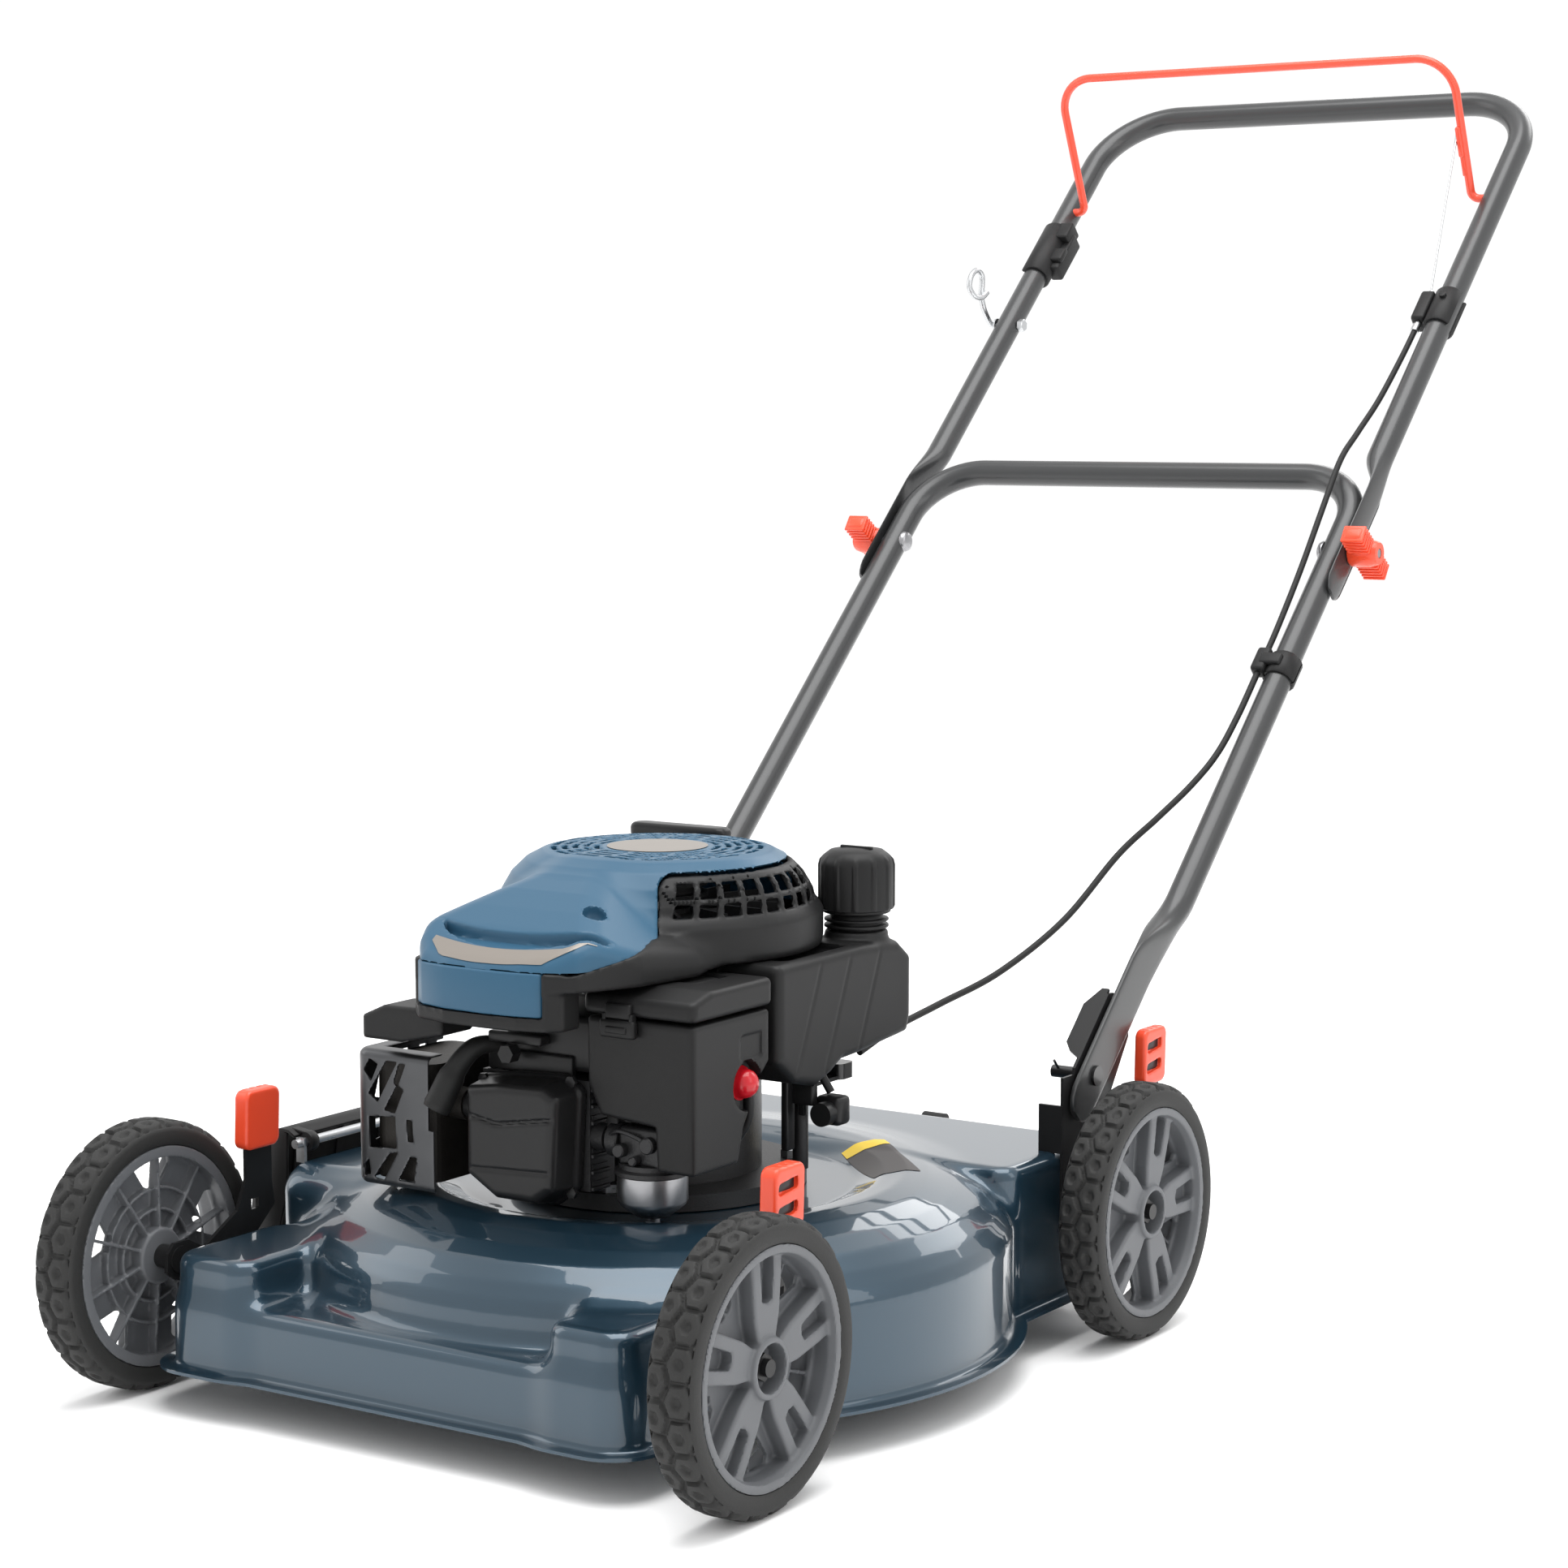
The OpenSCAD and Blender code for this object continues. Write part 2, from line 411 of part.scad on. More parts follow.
// ---------- engine, upper part ----------
module nose_pts(g, z0, z1) { translate([0, 0, z0]) linear_extrude(z1 - z0) polygon([[-52 + g, 74], [-52 + g, 52 + g],
  [-40, 46 + g], [-16, 42.5 + g], [16, 42 + g], [46, 45 + g], [78, 53 + g], [84 - g, 60], [84 - g, 74]]); }
module blower_housing() {
  color([0.08, 0.08, 0.085]) difference() {
    union() {
      E() translate([0, 0, 325]) cylinder(r = 121, h = 27);
      P() { box(-52, 84, 72, 200, 325, 340); nose_pts(0, 290, 340); rbox(-120, -40, 71, 108, 268, 292, 5);
        difference() { translate([-52, 374, 325]) cylinder(r = 12, h = 48); translate([-52, 374, 350]) cylinder(r = 3.2, h = 30); }
        box(26, 42, 178, 198, 290, 326); box(-22, -6, 178, 198, 290, 326); }
      E() intersection() { translate([0, 0, 350]) cylinder(r = 121, h = 36.2); rotate(-50) box(40, 130, -20, 110, 340, 390); }
    }
    E() translate([0, 0, 328]) cylinder(r = 117, h = 55);
    E() translate([0, 0, 380]) cylinder(r = 101, h = 20);
    E() translate([0, 0, 300]) cylinder(r = 64, h = 60);
    P() { nose_pts(4, 294, 325); nose_pts(3, 328, 360); box(-49, 81, 70, 210, 328, 360); box(-50.6, 81, 40, 210, 340.05, 360);
      box(-46, 68, 30, 60, 296, 345); rbox(-117, -46, 81, 105, 260, 289, 3); }
    E() for (i = [0:11]) rotate(-70 + i * 7.4) translate([108, -4.6, 358]) cube([20, 9.2, 19]);
  }
}
// outer form of the blue cover, pulled in by t
module cover_form(t) {
  E() rotate_extrude($fn = 96) polygon([[0, 352.2 - t], [116 - t, 352.2 - t], [116 - t, 366 - t * 0.6], [113.6 - t, 375 - t * 0.7],
    [108 - t * 0.8, 383 - t * 0.8], [98, 390 - t], [84, 395.6 - t], [0, 395.6 - t]]);
  P() intersection() {
    translate([0, 0, 300]) linear_extrude(120) polygon([[-50 + t, 190], [-50 + t, 53 + t], [-38, 47.5 + t], [-16, 43.6 + t],
      [16, 43 + t], [46, 46.5 + t], [79 - t, 54 + t], [79 - t, 190]]);
    translate([-60, 0, 0]) rotate([90, 0, 90]) linear_extrude(150) polygon([[40, 340.2 - t], [200, 340.2 - t], [200, 388 - t], [150, 386 - t],
      [110, 378 - t], [80, 368 - t], [60, 357.6 - t], [51, 351 - t], [40, 343 - t * 0.4]]);
  }
}
module engine_cover() {
  color([0.22, 0.38, 0.52]) {
    difference() {
      cover_form(0);
      cover_form(2.6);
      E() rotate(-50) box(30, 130, -22, 112, 340, 386.4);
      E() translate([0, 0, 330]) cylinder(r = 112, h = 22.1);
      E() for (r = [46, 57, 68]) for (a = [0:24:336]) rotate(a + r) translate([r, -7, 385]) cube([4, 14, 30]);
    }
    P() difference() {
      translate([0, 0, 297]) linear_extrude(46) polygon([[-45.5, 50.4], [-38, 46], [-16, 42.6], [16, 42.2], [44, 45], [67.5, 50.6], [67.5, 55], [-45.5, 55]]);
      translate([0, 0, 300]) linear_extrude(45) polygon([[-42.5, 60], [-42.5, 52], [-16, 46.2], [16, 45.8], [64.5, 53], [64.5, 60]]);
    }
    E() { translate([0, 0, 373]) cylinder(r = 9, h = 20.4); translate([0, 0, 358]) cylinder(r = 5, h = 20); translate([0, 0, 357.6]) cylinder(r = 7, h = 1); }
  }
}
module fuel_tank() {
  color([0.07, 0.07, 0.075]) P() difference() {
    union() { rbox(94, 150, 215, 398, 244, 323, 12); rbox(94, 150, 215, 306, 232, 250, 12);
      translate([122, 362, 322]) cylinder(r = 21, h = 19); }
    rbox(97, 147, 218, 395, 248, 320, 9); rbox(97, 147, 218, 303, 235, 249, 9);
    translate([122, 362, 300]) cylinder(r = 18, h = 60);
  }
}
module fuel_cap() {
  color([0.06, 0.06, 0.065]) P() difference() {
    union() { translate([122, 362, 345]) cylinder(r = 29, h = 38); translate([122, 362, 382]) cylinder(r1 = 27, r2 = 22, h = 9);
      translate([122, 362, 334]) cylinder(r = 26, h = 11.2); }
    translate([122, 362, 330]) cylinder(r = 21.3, h = 34);
  }
}
module air_filter_box() {
  color([0.08, 0.08, 0.085]) P() difference() {
    union() { translate([0, 0, 221]) linear_extrude(76) polygon([[58, 106], [150, 106], [150, 202], [70, 202], [58, 190]]);
      box(118, 150, 110, 166, 188, 222); }
    translate([0, 0, 224]) linear_extrude(80) polygon([[61, 109], [147, 109], [147, 160], [134, 160], [134, 199], [72, 199], [61, 188]]);
    box(121, 147, 113, 163, 191, 240);
    cylx(139, 176, 244, 17, 20);
    cylx(130, 176, 244, 5.06, 20);
    cylx(50, 130, 236, 9, 20);
  }
}
module air_filter_cover() {
  color([0.08, 0.08, 0.085]) P() difference() {
    union() { hull() { box(56.5, 151.5, 104.5, 203.5, 297.4, 306); box(58, 150, 118, 202, 316, 318); }
      box(74, 104, 100.5, 104.6, 283, 308); }
    box(61, 147, 109, 199, 290, 306);
  }
}
module carburetor() {
  color([0.13, 0.13, 0.14]) P() difference() {
    union() { box(76, 118, 112, 148, 186, 220.8); cylx(66.3, 122, 205, 13, 12); translate([97, 131, 182]) cylinder(r = 20, h = 8);
      cylx(110, 124, 200, 5, 26 - 20); cyly(90, 104, 208, 4, 10); }
    cylx(60, 122, 205, 9, 50);
  }
}
module carburetor_bowl() {
  color([0.72, 0.72, 0.73]) P() difference() {
    union() { translate([97, 131, 158]) cylinder(r = 25.5, h = 23.8); translate([97, 131, 150]) cylinder(r1 = 13, r2 = 25, h = 8.1);
      translate([97, 131, 146]) cylinder(r = 6, h = 6, $fn = 6); }
    translate([97, 131, 160]) cylinder(r = 23.5, h = 30);
  }
}
module primer_bulb() {
  color([0.75, 0.05, 0.09]) P() translate([0, 176, 244]) rotate([0, 90, 0]) rotate_extrude($fn = 64)
    polygon([[0, 131], [5, 131], [5, 142.4], [12, 142.4], [12, 146.4], [11.3, 150.4], [9.4, 153.8], [6.2, 156.5], [2.8, 157.9], [0, 158.2]]);
}
module starter_pulley() {
  color([0.16, 0.16, 0.17]) E() difference() {
    union() { translate([0, 0, 359]) cylinder(r = 38, h = 3); translate([0, 0, 361.5]) cylinder(r = 30, h = 7); translate([0, 0, 368]) cylinder(r = 38, h = 3); }
    translate([0, 0, 350]) cylinder(r = 5.06, h = 40);
    for (a = [0:60:300]) rotate(a) translate([19, 0, 350]) cylinder(r = 5, h = 30);
  }
}
gx = -52; gy = 378; gz = 382;    // starter grip
module starter_rope() { color([0.85, 0.84, 0.8]) P() translate([gx, gy - 4, gz - 13]) cylinder(r = 2.4, h = 5); }
module starter_grip() {
  color([0.06, 0.06, 0.065]) P() { rbox(gx - 46, gx + 46, gy - 11, gy + 11, gz + 1, gz + 14, 10); translate([gx, gy - 4, gz - 8]) cylinder(r = 6.5, h = 9.1); }
}
module brake_lever() {
  color([0.12, 0.12, 0.13]) P() difference() {
    union() { rbox(99, 113, 302, 362, 214, 217, 6); translate([106, 309, 206]) cylinder(r = 8, h = 11); rbox(96, 116, 350, 370, 214, 226, 5); }
    translate([106, 309, 200]) cylinder(r = 4.06, h = 20);
  }
}

// ---------- handle ----------
// quarter bend about (x, s), from the cross bar round to a leg
module bend(r, rr, q) { translate([0, 0, 0]) rotate([0, 0, q]) rotate_extrude(angle = 90) translate([rr, 0]) circle(r = r); }
module u_tube(hx, s1, rr, s0, r) {
  // bar at s1, legs down to s0
  translate([-(hx - rr) - 0.01, s1, 0]) rotate([0, 90, 0]) cylinder(r = r, h = 2 * (hx - rr) + 0.02);
  for (m = [0, 1]) mirror([m, 0, 0]) {
    translate([hx - rr, s1 - rr, 0]) bend(r, rr, 0);
    translate([hx, s0, 0]) rotate([-90, 0, 0]) cylinder(r = r, h = s1 - rr - s0 + 0.01);
  }
}
// wall section of the lower tube, then one foot: an S-bend whose inner side is pressed flat towards the strip
module ring_tube() { difference() { circle(r = tr); circle(r = tr - 1.5); } }
module lower_foot(m) {
  q = [[-500, 0], [-522, np * 0.156], [-570, np * 0.844], [-595, np]]; x = m * lx;
  difference() {
    union() {
      for (i = [0:2]) rod([x, q[i][0], q[i][1]], [x, q[i + 1][0], q[i + 1][1]], tr);
      for (i = [1:3]) translate([x, q[i][0], q[i][1]]) sphere(r = tr + 0.05, $fn = 20);
      translate([x, -612, np]) rotate([-90, 0, 0]) cylinder(r = tr, h = 17);
      translate([m > 0 ? 235.2 : -239.8, 0, 0]) rotate([90, 0, 90]) linear_extrude(4.6) polygon([[-590, np - 10], [-606, np - 19], [-715, np - 19],
          [-737, np - 3], [-737, np + 3], [-715, np + 19], [-606, np + 19], [-590, np + 10]]);
    }
    translate([0, 0, -30]) linear_extrude(90) polygon([[m * 210, -518], [m * 214, -518], [m * 235.2, -590], [m * 235.2, -620], [m * 200, -620]]);
  }
}
module lower_handle() {
  $fn = 32;
  color([0.2, 0.2, 0.21]) H() difference() {
    union() {
      translate([-168, 0, 0]) rotate([0, 90, 0]) linear_extrude(336) ring_tube();
      for (m = [-1, 1]) {
        translate([m * 168, -60, 0]) rotate([0, 0, m > 0 ? 0 : 90]) rotate_extrude(angle = 90) translate([60, 0]) ring_tube();
        translate([m * lx, -500, 0]) rotate([-90, 0, 0]) linear_extrude(440) ring_tube();
      }
      for (m = [-1, 1]) { translate([m * lx, -500, 0]) sphere(r = tr + 0.05, $fn = 20); lower_foot(m); }
    }
    for (m = [-1, 1]) cylx(m * 238 - 10, sp, np, 5.06, 20);
    for (m = [-1, 1]) cylx(m * lx - 20, sb, 0, 4.05, 40);
  }
}
module upper_handle() {
  $fn = 32;
  color([0.2, 0.2, 0.21]) H() difference() {
    union() {
      difference() { u_tube(ux, bar_gap, 70, 2, tr); u_tube(ux, bar_gap, 70, 1, tr - 1.4); }
      for (m = [0, 1]) mirror([m, 0, 0]) intersection() {
        translate([0, 30, 0]) rotate([90, 0, 0]) linear_extrude(180) polygon([[240.4, -14.4], [241.2, -14.8], [242.3, -11],
          [243.1, -6], [243.4, 0], [243.1, 6], [242.3, 11], [241.2, 14.8], [240.4, 14.4]]);
        translate([230, 0, 0]) rotate([90, 0, 90]) linear_extrude(20) polygon([[-132, -15], [-141, -11], [-146, -4], [-146, 4],
          [-141, 11], [-132, 15], [-14, 15], [26, 7], [26, -7], [-14, -15]]);
      }
    }
    cylx(-260, sb, 0, 4.06, 520);
    for (m = [-1, 1]) cylx(m > 0 ? 212 : -228, bail_s, bail_n, 4.06, 16);
    cylx(212, 210, 0, 3.1, 26); cylx(-246, 210, 0, 3.1, 34);
  }
}
module handle_bolts() {
  color([0.75, 0.76, 0.78]) H() for (m = [0, 1]) mirror([m, 0, 0]) {
    cylx(214.6, sb, 0, 4, 48.4);
    translate([215.9, sb, 0]) rotate([0, -90, 0]) cylinder(r1 = 9.5, r2 = 5, h = 4);
  }
}
module knob(s) {
  H() mirror([s < 0 ? 1 : 0, 0, 0]) translate([0, sb, 0]) rotate([knob_turn, 0, 0]) difference() {
    union() { cylx(243.8, 0, 0, 10.5, 26.6); for (k = [-1, 1]) translate([246, -7, k * 18 - 13]) cube([20, 14, 26]);
      for (k = [-1, 1]) for (i = [0:4]) translate([245, -8.2, k * 18 - 12 + i * 5]) cube([17, 16.4, 2.4]); }
    cylx(240, 0, 0, 4.06, 40);
    cylx(263.2, 0, 0, 7, 10);
  }
}
module knob_left() { color([0.91, 0.25, 0.12]) knob(1); }
module knob_right() { color([0.91, 0.25, 0.12]) knob(-1); }
module bail() {
  // drawn in its own plane: u across, v from the pivot to the bar
  color([0.91, 0.25, 0.12]) H() translate([0, bail_s, bail_n]) rotate([114.6 - handle_ang, 0, 0]) {
    L = 141.8;
    translate([-174.01, L, 0]) rotate([0, 90, 0]) cylinder(r = 4, h = 348.02);
    for (m = [0, 1]) mirror([m, 0, 0]) {
      translate([174, L - 36, 0]) bend(4, 36, 0);
      translate([210, 8, 0]) rotate([-90, 0, 0]) cylinder(r = 4, h = L - 44 + 0.01);
      translate([218, 8, 0]) rotate([0, 0, 180]) rotate_extrude(angle = 90) translate([8, 0]) circle(r = 4);
      translate([217.99, 0, 0]) rotate([0, 90, 0]) cylinder(r = 4, h = 10);
    }
    difference() { translate([206, 48, -6]) cube([4.5, 22, 12]); translate([200, 59, 0]) rotate([0, 90, 0]) cylinder(r = 1.5, h = 20); }
  }
}
module bail_brackets() {
  color([0.07, 0.07, 0.075]) H() {
    difference() { union() { box(-244, -213, 282, 352, -15, 12); } translate([-ux, 270, 0]) rotate([-90, 0, 0]) cylinder(r = tr + 0.05, h = 100); box(-250, -231, 270, 360, -20, 20); box(-222, -210, 300, 344, -9, 9); }
    difference() { union() { box(206, 232, 196, 240, -15, 14); } translate([ux, 180, 0]) rotate([-90, 0, 0]) cylinder(r = tr + 0.05, h = 100); translate([212, 190, 4]) rotate([-90, 0, 0]) cylinder(r = 3.1, h = 60); cylx(200, 210, 0, 4.2, 30); }
  }
}
module rope_guide() {
  color([0.7, 0.71, 0.73]) H() {
    cylx(-252, 210, 0, 3, 40); hexx(-219, 210, 0, 11, 5.5); cylx(-246, 210, 0, 6, 2);
    translate([-252, 210, 0]) cylinder(r = 2.8, h = 34);
    translate([-252, 210, 44]) rotate([0, 90, 0]) rotate_extrude(angle = 300) translate([12, 0]) circle(r = 2.6);
  }
}
module cable_clip() {
  color([0.07, 0.07, 0.075]) H() difference() {
    union() { translate([lx, -250, 0]) rotate([-90, 0, 0]) cylinder(r = tr + 3, h = 24); box(207, 218, -250, -226, 2, 16); }
    translate([lx, -260, 0]) rotate([-90, 0, 0]) cylinder(r = tr + 0.02, h = 50);
    translate([212, -260, 10]) rotate([-90, 0, 0]) cylinder(r = 3.1, h = 50);
  }
}
// brake cable route: bracket on the upper handle, clip on the lower handle, brake on the engine
cu = [hp(212, 196, 4), hp(212, 150, 6), hp(211, 90, 10), hp(209, 40, 17), hp(207, 0, 21), hp(209, -60, 18), hp(211, -130, 13), hp(212, -200, 10), hp(212, -250, 10)];
cl = [hp(212, -250.3, 10), hp(211, -300, 10), hp(206, -350, 12), hp(190, -400, 16), [160, 690 - ys, 300], [128, 600 - ys, 256], [113, 520 - ys, 240], [107, 450 - ys, 232], [106, 392 - ys, 226]];
module brake_cable_upper() {
  color([0.04, 0.04, 0.045]) sweep(route(cu, 4), 2.6);
  color([0.8, 0.81, 0.83]) { sweep([hp(212, 241, 4), hp(204.4, 385, 64)], 0.9, 6);
    H() translate([212, 196.2, 4]) rotate([-90, 0, 0]) cylinder(r = 3, h = 44); }
}
module brake_cable_lower() { color([0.04, 0.04, 0.045]) sweep(route(cl, 5), 2.6); }

deck();
handle_brackets();
handle_pins();
hinge_rods();
discharge_flap();
rear_shield();
tyre_fl();
rim_fl();
lever_fl();
grip_fl();
tyre_fr();
rim_fr();
lever_fr();
grip_fr();
tyre_rl();
rim_rl();
lever_rl();
grip_rl();
tyre_rr();
rim_rr();
lever_rr();
grip_rr();
engine_block();
cylinder_head();
valve_cover();
muffler();
muffler_guard();
spark_plug();
blower_housing();
engine_cover();
fuel_tank();
fuel_cap();
air_filter_box();
air_filter_cover();
carburetor();
carburetor_bowl();
primer_bulb();
starter_pulley();
starter_rope();
starter_grip();
crankshaft();
flywheel();
camshaft();
piston();
brake_lever();
blade_adapter();
blade();
blade_bolt();
engine_bolts();
lower_handle();
upper_handle();
knob_left();
knob_right();
handle_bolts();
bail();
bail_brackets();
rope_guide();
cable_clip();
brake_cable_upper();
brake_cable_lower();
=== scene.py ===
import bpy, bmesh, json, math
import numpy as np
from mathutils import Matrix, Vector

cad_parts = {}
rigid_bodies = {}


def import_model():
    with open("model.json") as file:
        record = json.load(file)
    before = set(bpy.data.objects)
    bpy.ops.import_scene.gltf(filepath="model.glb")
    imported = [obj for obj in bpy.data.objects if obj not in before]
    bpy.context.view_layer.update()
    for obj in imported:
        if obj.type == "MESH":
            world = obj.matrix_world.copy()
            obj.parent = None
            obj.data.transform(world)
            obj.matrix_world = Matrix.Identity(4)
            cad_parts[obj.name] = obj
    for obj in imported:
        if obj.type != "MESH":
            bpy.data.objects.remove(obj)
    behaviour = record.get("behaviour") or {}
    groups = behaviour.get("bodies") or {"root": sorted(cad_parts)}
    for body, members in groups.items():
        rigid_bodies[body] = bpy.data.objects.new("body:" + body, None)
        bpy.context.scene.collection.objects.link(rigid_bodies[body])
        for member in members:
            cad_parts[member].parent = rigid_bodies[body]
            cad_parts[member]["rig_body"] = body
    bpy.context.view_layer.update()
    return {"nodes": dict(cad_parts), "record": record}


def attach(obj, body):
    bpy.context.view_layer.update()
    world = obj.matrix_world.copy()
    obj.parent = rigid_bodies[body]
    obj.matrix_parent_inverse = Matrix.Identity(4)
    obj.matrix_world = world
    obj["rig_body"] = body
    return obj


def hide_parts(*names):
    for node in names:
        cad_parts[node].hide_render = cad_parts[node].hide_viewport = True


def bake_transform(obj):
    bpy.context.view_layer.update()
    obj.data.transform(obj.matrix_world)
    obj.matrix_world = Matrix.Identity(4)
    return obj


for _o in list(bpy.data.objects):
    bpy.data.objects.remove(_o)
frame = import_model()
N = frame["nodes"]


YS = 674.5
EX, EY = 10.0, 260.0
rad = math.radians
ANG = rad(43.31)
CA, SA = math.cos(ANG), math.sin(ANG)


# ------------------------------------------------------------------ materials
def new_mat(name, col, rough=0.5, metal=0.0, coat=0.0, coat_rough=0.05, bump=0.0, scale=300.0, vary=0.0, spec=0.5, grain=None):
    m = bpy.data.materials.new(name)
    m.use_nodes = True
    nt = m.node_tree
    b = nt.nodes["Principled BSDF"]
    b.inputs["Base Color"].default_value = (*col, 1)
    b.inputs["Roughness"].default_value = rough
    b.inputs["Metallic"].default_value = metal
    b.inputs["Coat Weight"].default_value = coat
    b.inputs["Coat Roughness"].default_value = coat_rough
    b.inputs["Specular IOR Level"].default_value = spec
    if bump or vary:
        tc = nt.nodes.new("ShaderNodeTexCoord")
        mp = nt.nodes.new("ShaderNodeMapping")
        mp.inputs["Scale"].default_value = grain or (1, 1, 1)
        no = nt.nodes.new("ShaderNodeTexNoise")
        no.inputs["Scale"].default_value = scale
        no.inputs["Detail"].default_value = 3.0
        nt.links.new(tc.outputs["Object"], mp.inputs["Vector"])
        nt.links.new(mp.outputs["Vector"], no.inputs["Vector"])
        if bump:
            bp = nt.nodes.new("ShaderNodeBump")
            bp.inputs["Strength"].default_value = bump
            bp.inputs["Distance"].default_value = 0.0004
            nt.links.new(no.outputs["Fac"], bp.inputs["Height"])
            nt.links.new(bp.outputs["Normal"], b.inputs["Normal"])
        if vary:
            mr = nt.nodes.new("ShaderNodeMapRange")
            mr.inputs["To Min"].default_value = max(0.02, rough - vary)
            mr.inputs["To Max"].default_value = min(1.0, rough + vary)
            nt.links.new(no.outputs["Fac"], mr.inputs["Value"])
            nt.links.new(mr.outputs["Result"], b.inputs["Roughness"])
    return m


M = {
    "deck_paint": new_mat("deck_paint_m", (0.014, 0.042, 0.068), 0.34, 0.55, 1.0, 0.035, bump=0.03, scale=2500),
    "cover_blue": new_mat("cover_blue_m", (0.030, 0.094, 0.160), 0.36, 0.0, 0.08, 0.25, bump=0.08, scale=2200, spec=0.22),
    "black_plastic": new_mat("black_plastic_m", (0.0105, 0.0105, 0.0108), 0.44, 0.0, bump=0.18, scale=1600, vary=0.05, spec=0.24),
    "satin_black": new_mat("satin_black_m", (0.012, 0.012, 0.0125), 0.33, 0.0, bump=0.06, scale=900, spec=0.27),
    "orange_plastic": new_mat("orange_plastic_m", (0.80, 0.065, 0.020), 0.36, 0.0, 0.2, 0.2, bump=0.05, scale=1500),
    "bail_orange": new_mat("bail_orange_m", (0.74, 0.060, 0.022), 0.33, 0.0, 0.4, 0.15),
    "wheel_grey": new_mat("wheel_grey_m", (0.105, 0.110, 0.118), 0.50, 0.0, bump=0.15, scale=1800, vary=0.05),
    "tread": new_mat("tread_m", (0.0125, 0.0125, 0.012), 0.68, 0.0, bump=0.35, scale=1400, vary=0.08),
    "handle_paint": new_mat("handle_paint_m", (0.036, 0.037, 0.038), 0.36, 0.35, 0.35, 0.18, bump=0.10, scale=2400),
    "black_steel": new_mat("black_steel_m", (0.014, 0.014, 0.015), 0.30, 0.3, 0.5, 0.12, bump=0.05, scale=1200),
    "zinc": new_mat("zinc_m", (0.55, 0.56, 0.57), 0.30, 1.0, vary=0.08, scale=60, grain=(1, 1, 14)),
    "cast_alloy": new_mat("cast_alloy_m", (0.020, 0.020, 0.021), 0.42, 0.3, bump=0.5, scale=700, vary=0.08),
    "bright_alloy": new_mat("bright_alloy_m", (0.33, 0.33, 0.34), 0.32, 1.0, vary=0.07, scale=90, grain=(1, 1, 10)),
    "guard_steel": new_mat("guard_steel_m", (0.088, 0.090, 0.094), 0.34, 0.9, vary=0.08, scale=70, bump=0.03),
    "blade_steel": new_mat("blade_steel_m", (0.05, 0.05, 0.053), 0.4, 0.8, vary=0.1, scale=80, bump=0.1),
    "primer_red": new_mat("primer_red_m", (0.50, 0.006, 0.014), 0.28, 0.0, 0.4, 0.08, spec=0.3),
    "black_rubber": new_mat("black_rubber_m", (0.012, 0.012, 0.012), 0.55, 0.0, bump=0.2, scale=900, spec=0.3),
    "rope_fibre": new_mat("rope_fibre_m", (0.16, 0.15, 0.135), 0.85, 0.0, bump=0.8, scale=900),
    "exhaust": new_mat("exhaust_m", (0.035, 0.032, 0.029), 0.55, 0.6, bump=0.4, scale=500, vary=0.1),
    "label_tan": new_mat("label_tan_m", (0.24, 0.215, 0.19), 0.38, 0.35, bump=0.04, scale=1200),
    "label_dark": new_mat("label_dark_m", (0.018, 0.012, 0.011), 0.42),
    "label_white": new_mat("label_white_m", (0.80, 0.80, 0.79), 0.45),
    "label_orange": new_mat("label_orange_m", (0.78, 0.09, 0.02), 0.42),
    "label_yellow": new_mat("label_yellow_m", (0.80, 0.55, 0.02), 0.45),
}
SLOTS = {s["node"]: s["material_slot"] for s in frame["record"]["subparts"]}


# ------------------------------------------------------------------ mesh tools (all in mm, machine frame)
def add(name, V, F, mat, node=None, slot=None, replaces=(), smooth=35, solid=0.0, bevel=0.0, ride=None):
    V = np.asarray(V, float)
    P = V.copy(); P[:, 1] -= YS; P *= 0.001
    me = bpy.data.meshes.new(name)
    me.from_pydata(P.tolist(), [], [list(map(int, f)) for f in F])
    me.validate()
    me.materials.append(M[mat])
    o = bpy.data.objects.new(name, me)
    bpy.context.scene.collection.objects.link(o)
    bm = bmesh.new(); bm.from_mesh(me)
    bmesh.ops.recalc_face_normals(bm, faces=bm.faces)
    bm.faces.ensure_lookup_table()
    hi = max(bm.faces, key=lambda q: q.calc_center_median().z * (abs(q.normal.z) > 0.8))
    if solid and hi.normal.z < 0:
        bmesh.ops.reverse_faces(bm, faces=bm.faces)
    bm.to_mesh(me); bm.free()
    me.shade_smooth() if hasattr(me, "shade_smooth") else None
    if smooth < 180:
        me.set_sharp_from_angle(angle=rad(smooth))
    if solid:
        md = o.modifiers.new("solid", "SOLIDIFY"); md.thickness = solid * 0.001; md.offset = -1
    if bevel:
        md = o.modifiers.new("bevel", "BEVEL"); md.width = bevel * 0.001; md.segments = 2
        md.limit_method = "ANGLE"; md.angle_limit = rad(38); md.harden_normals = True
    if ride is not False:
        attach(o, ride or N[node]["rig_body"])
    if slot or node:
        slot or SLOTS[node]
    if replaces:
        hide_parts(*replaces)
    return o


class Acc:
    """Collects several closed pieces into one mesh."""
    def __init__(self):
        self.V = np.zeros((0, 3)); self.F = []
    def put(self, V, F):
        n = len(self.V)
        self.V = np.vstack([self.V, np.asarray(V, float)])
        self.F += [[int(i) + n for i in f] for f in F]
        return self
    def mirror_x(self):
        V = self.V.copy(); V[:, 0] *= -1
        a = Acc(); a.V = V; a.F = [f[::-1] for f in self.F]
        return a


def frames(P):
    P = np.asarray(P, float)
    T = np.gradient(P, axis=0)
    T /= np.linalg.norm(T, axis=1)[:, None]
    u = np.cross(T[0], [0.13, 0.07, 1.0]); u /= np.linalg.norm(u)
    U = [u]
    for i in range(1, len(P)):
        v = U[-1] - T[i] * np.dot(U[-1], T[i])
        U.append(v / np.linalg.norm(v))
    U = np.array(U)
    return T, U, np.cross(T, U)


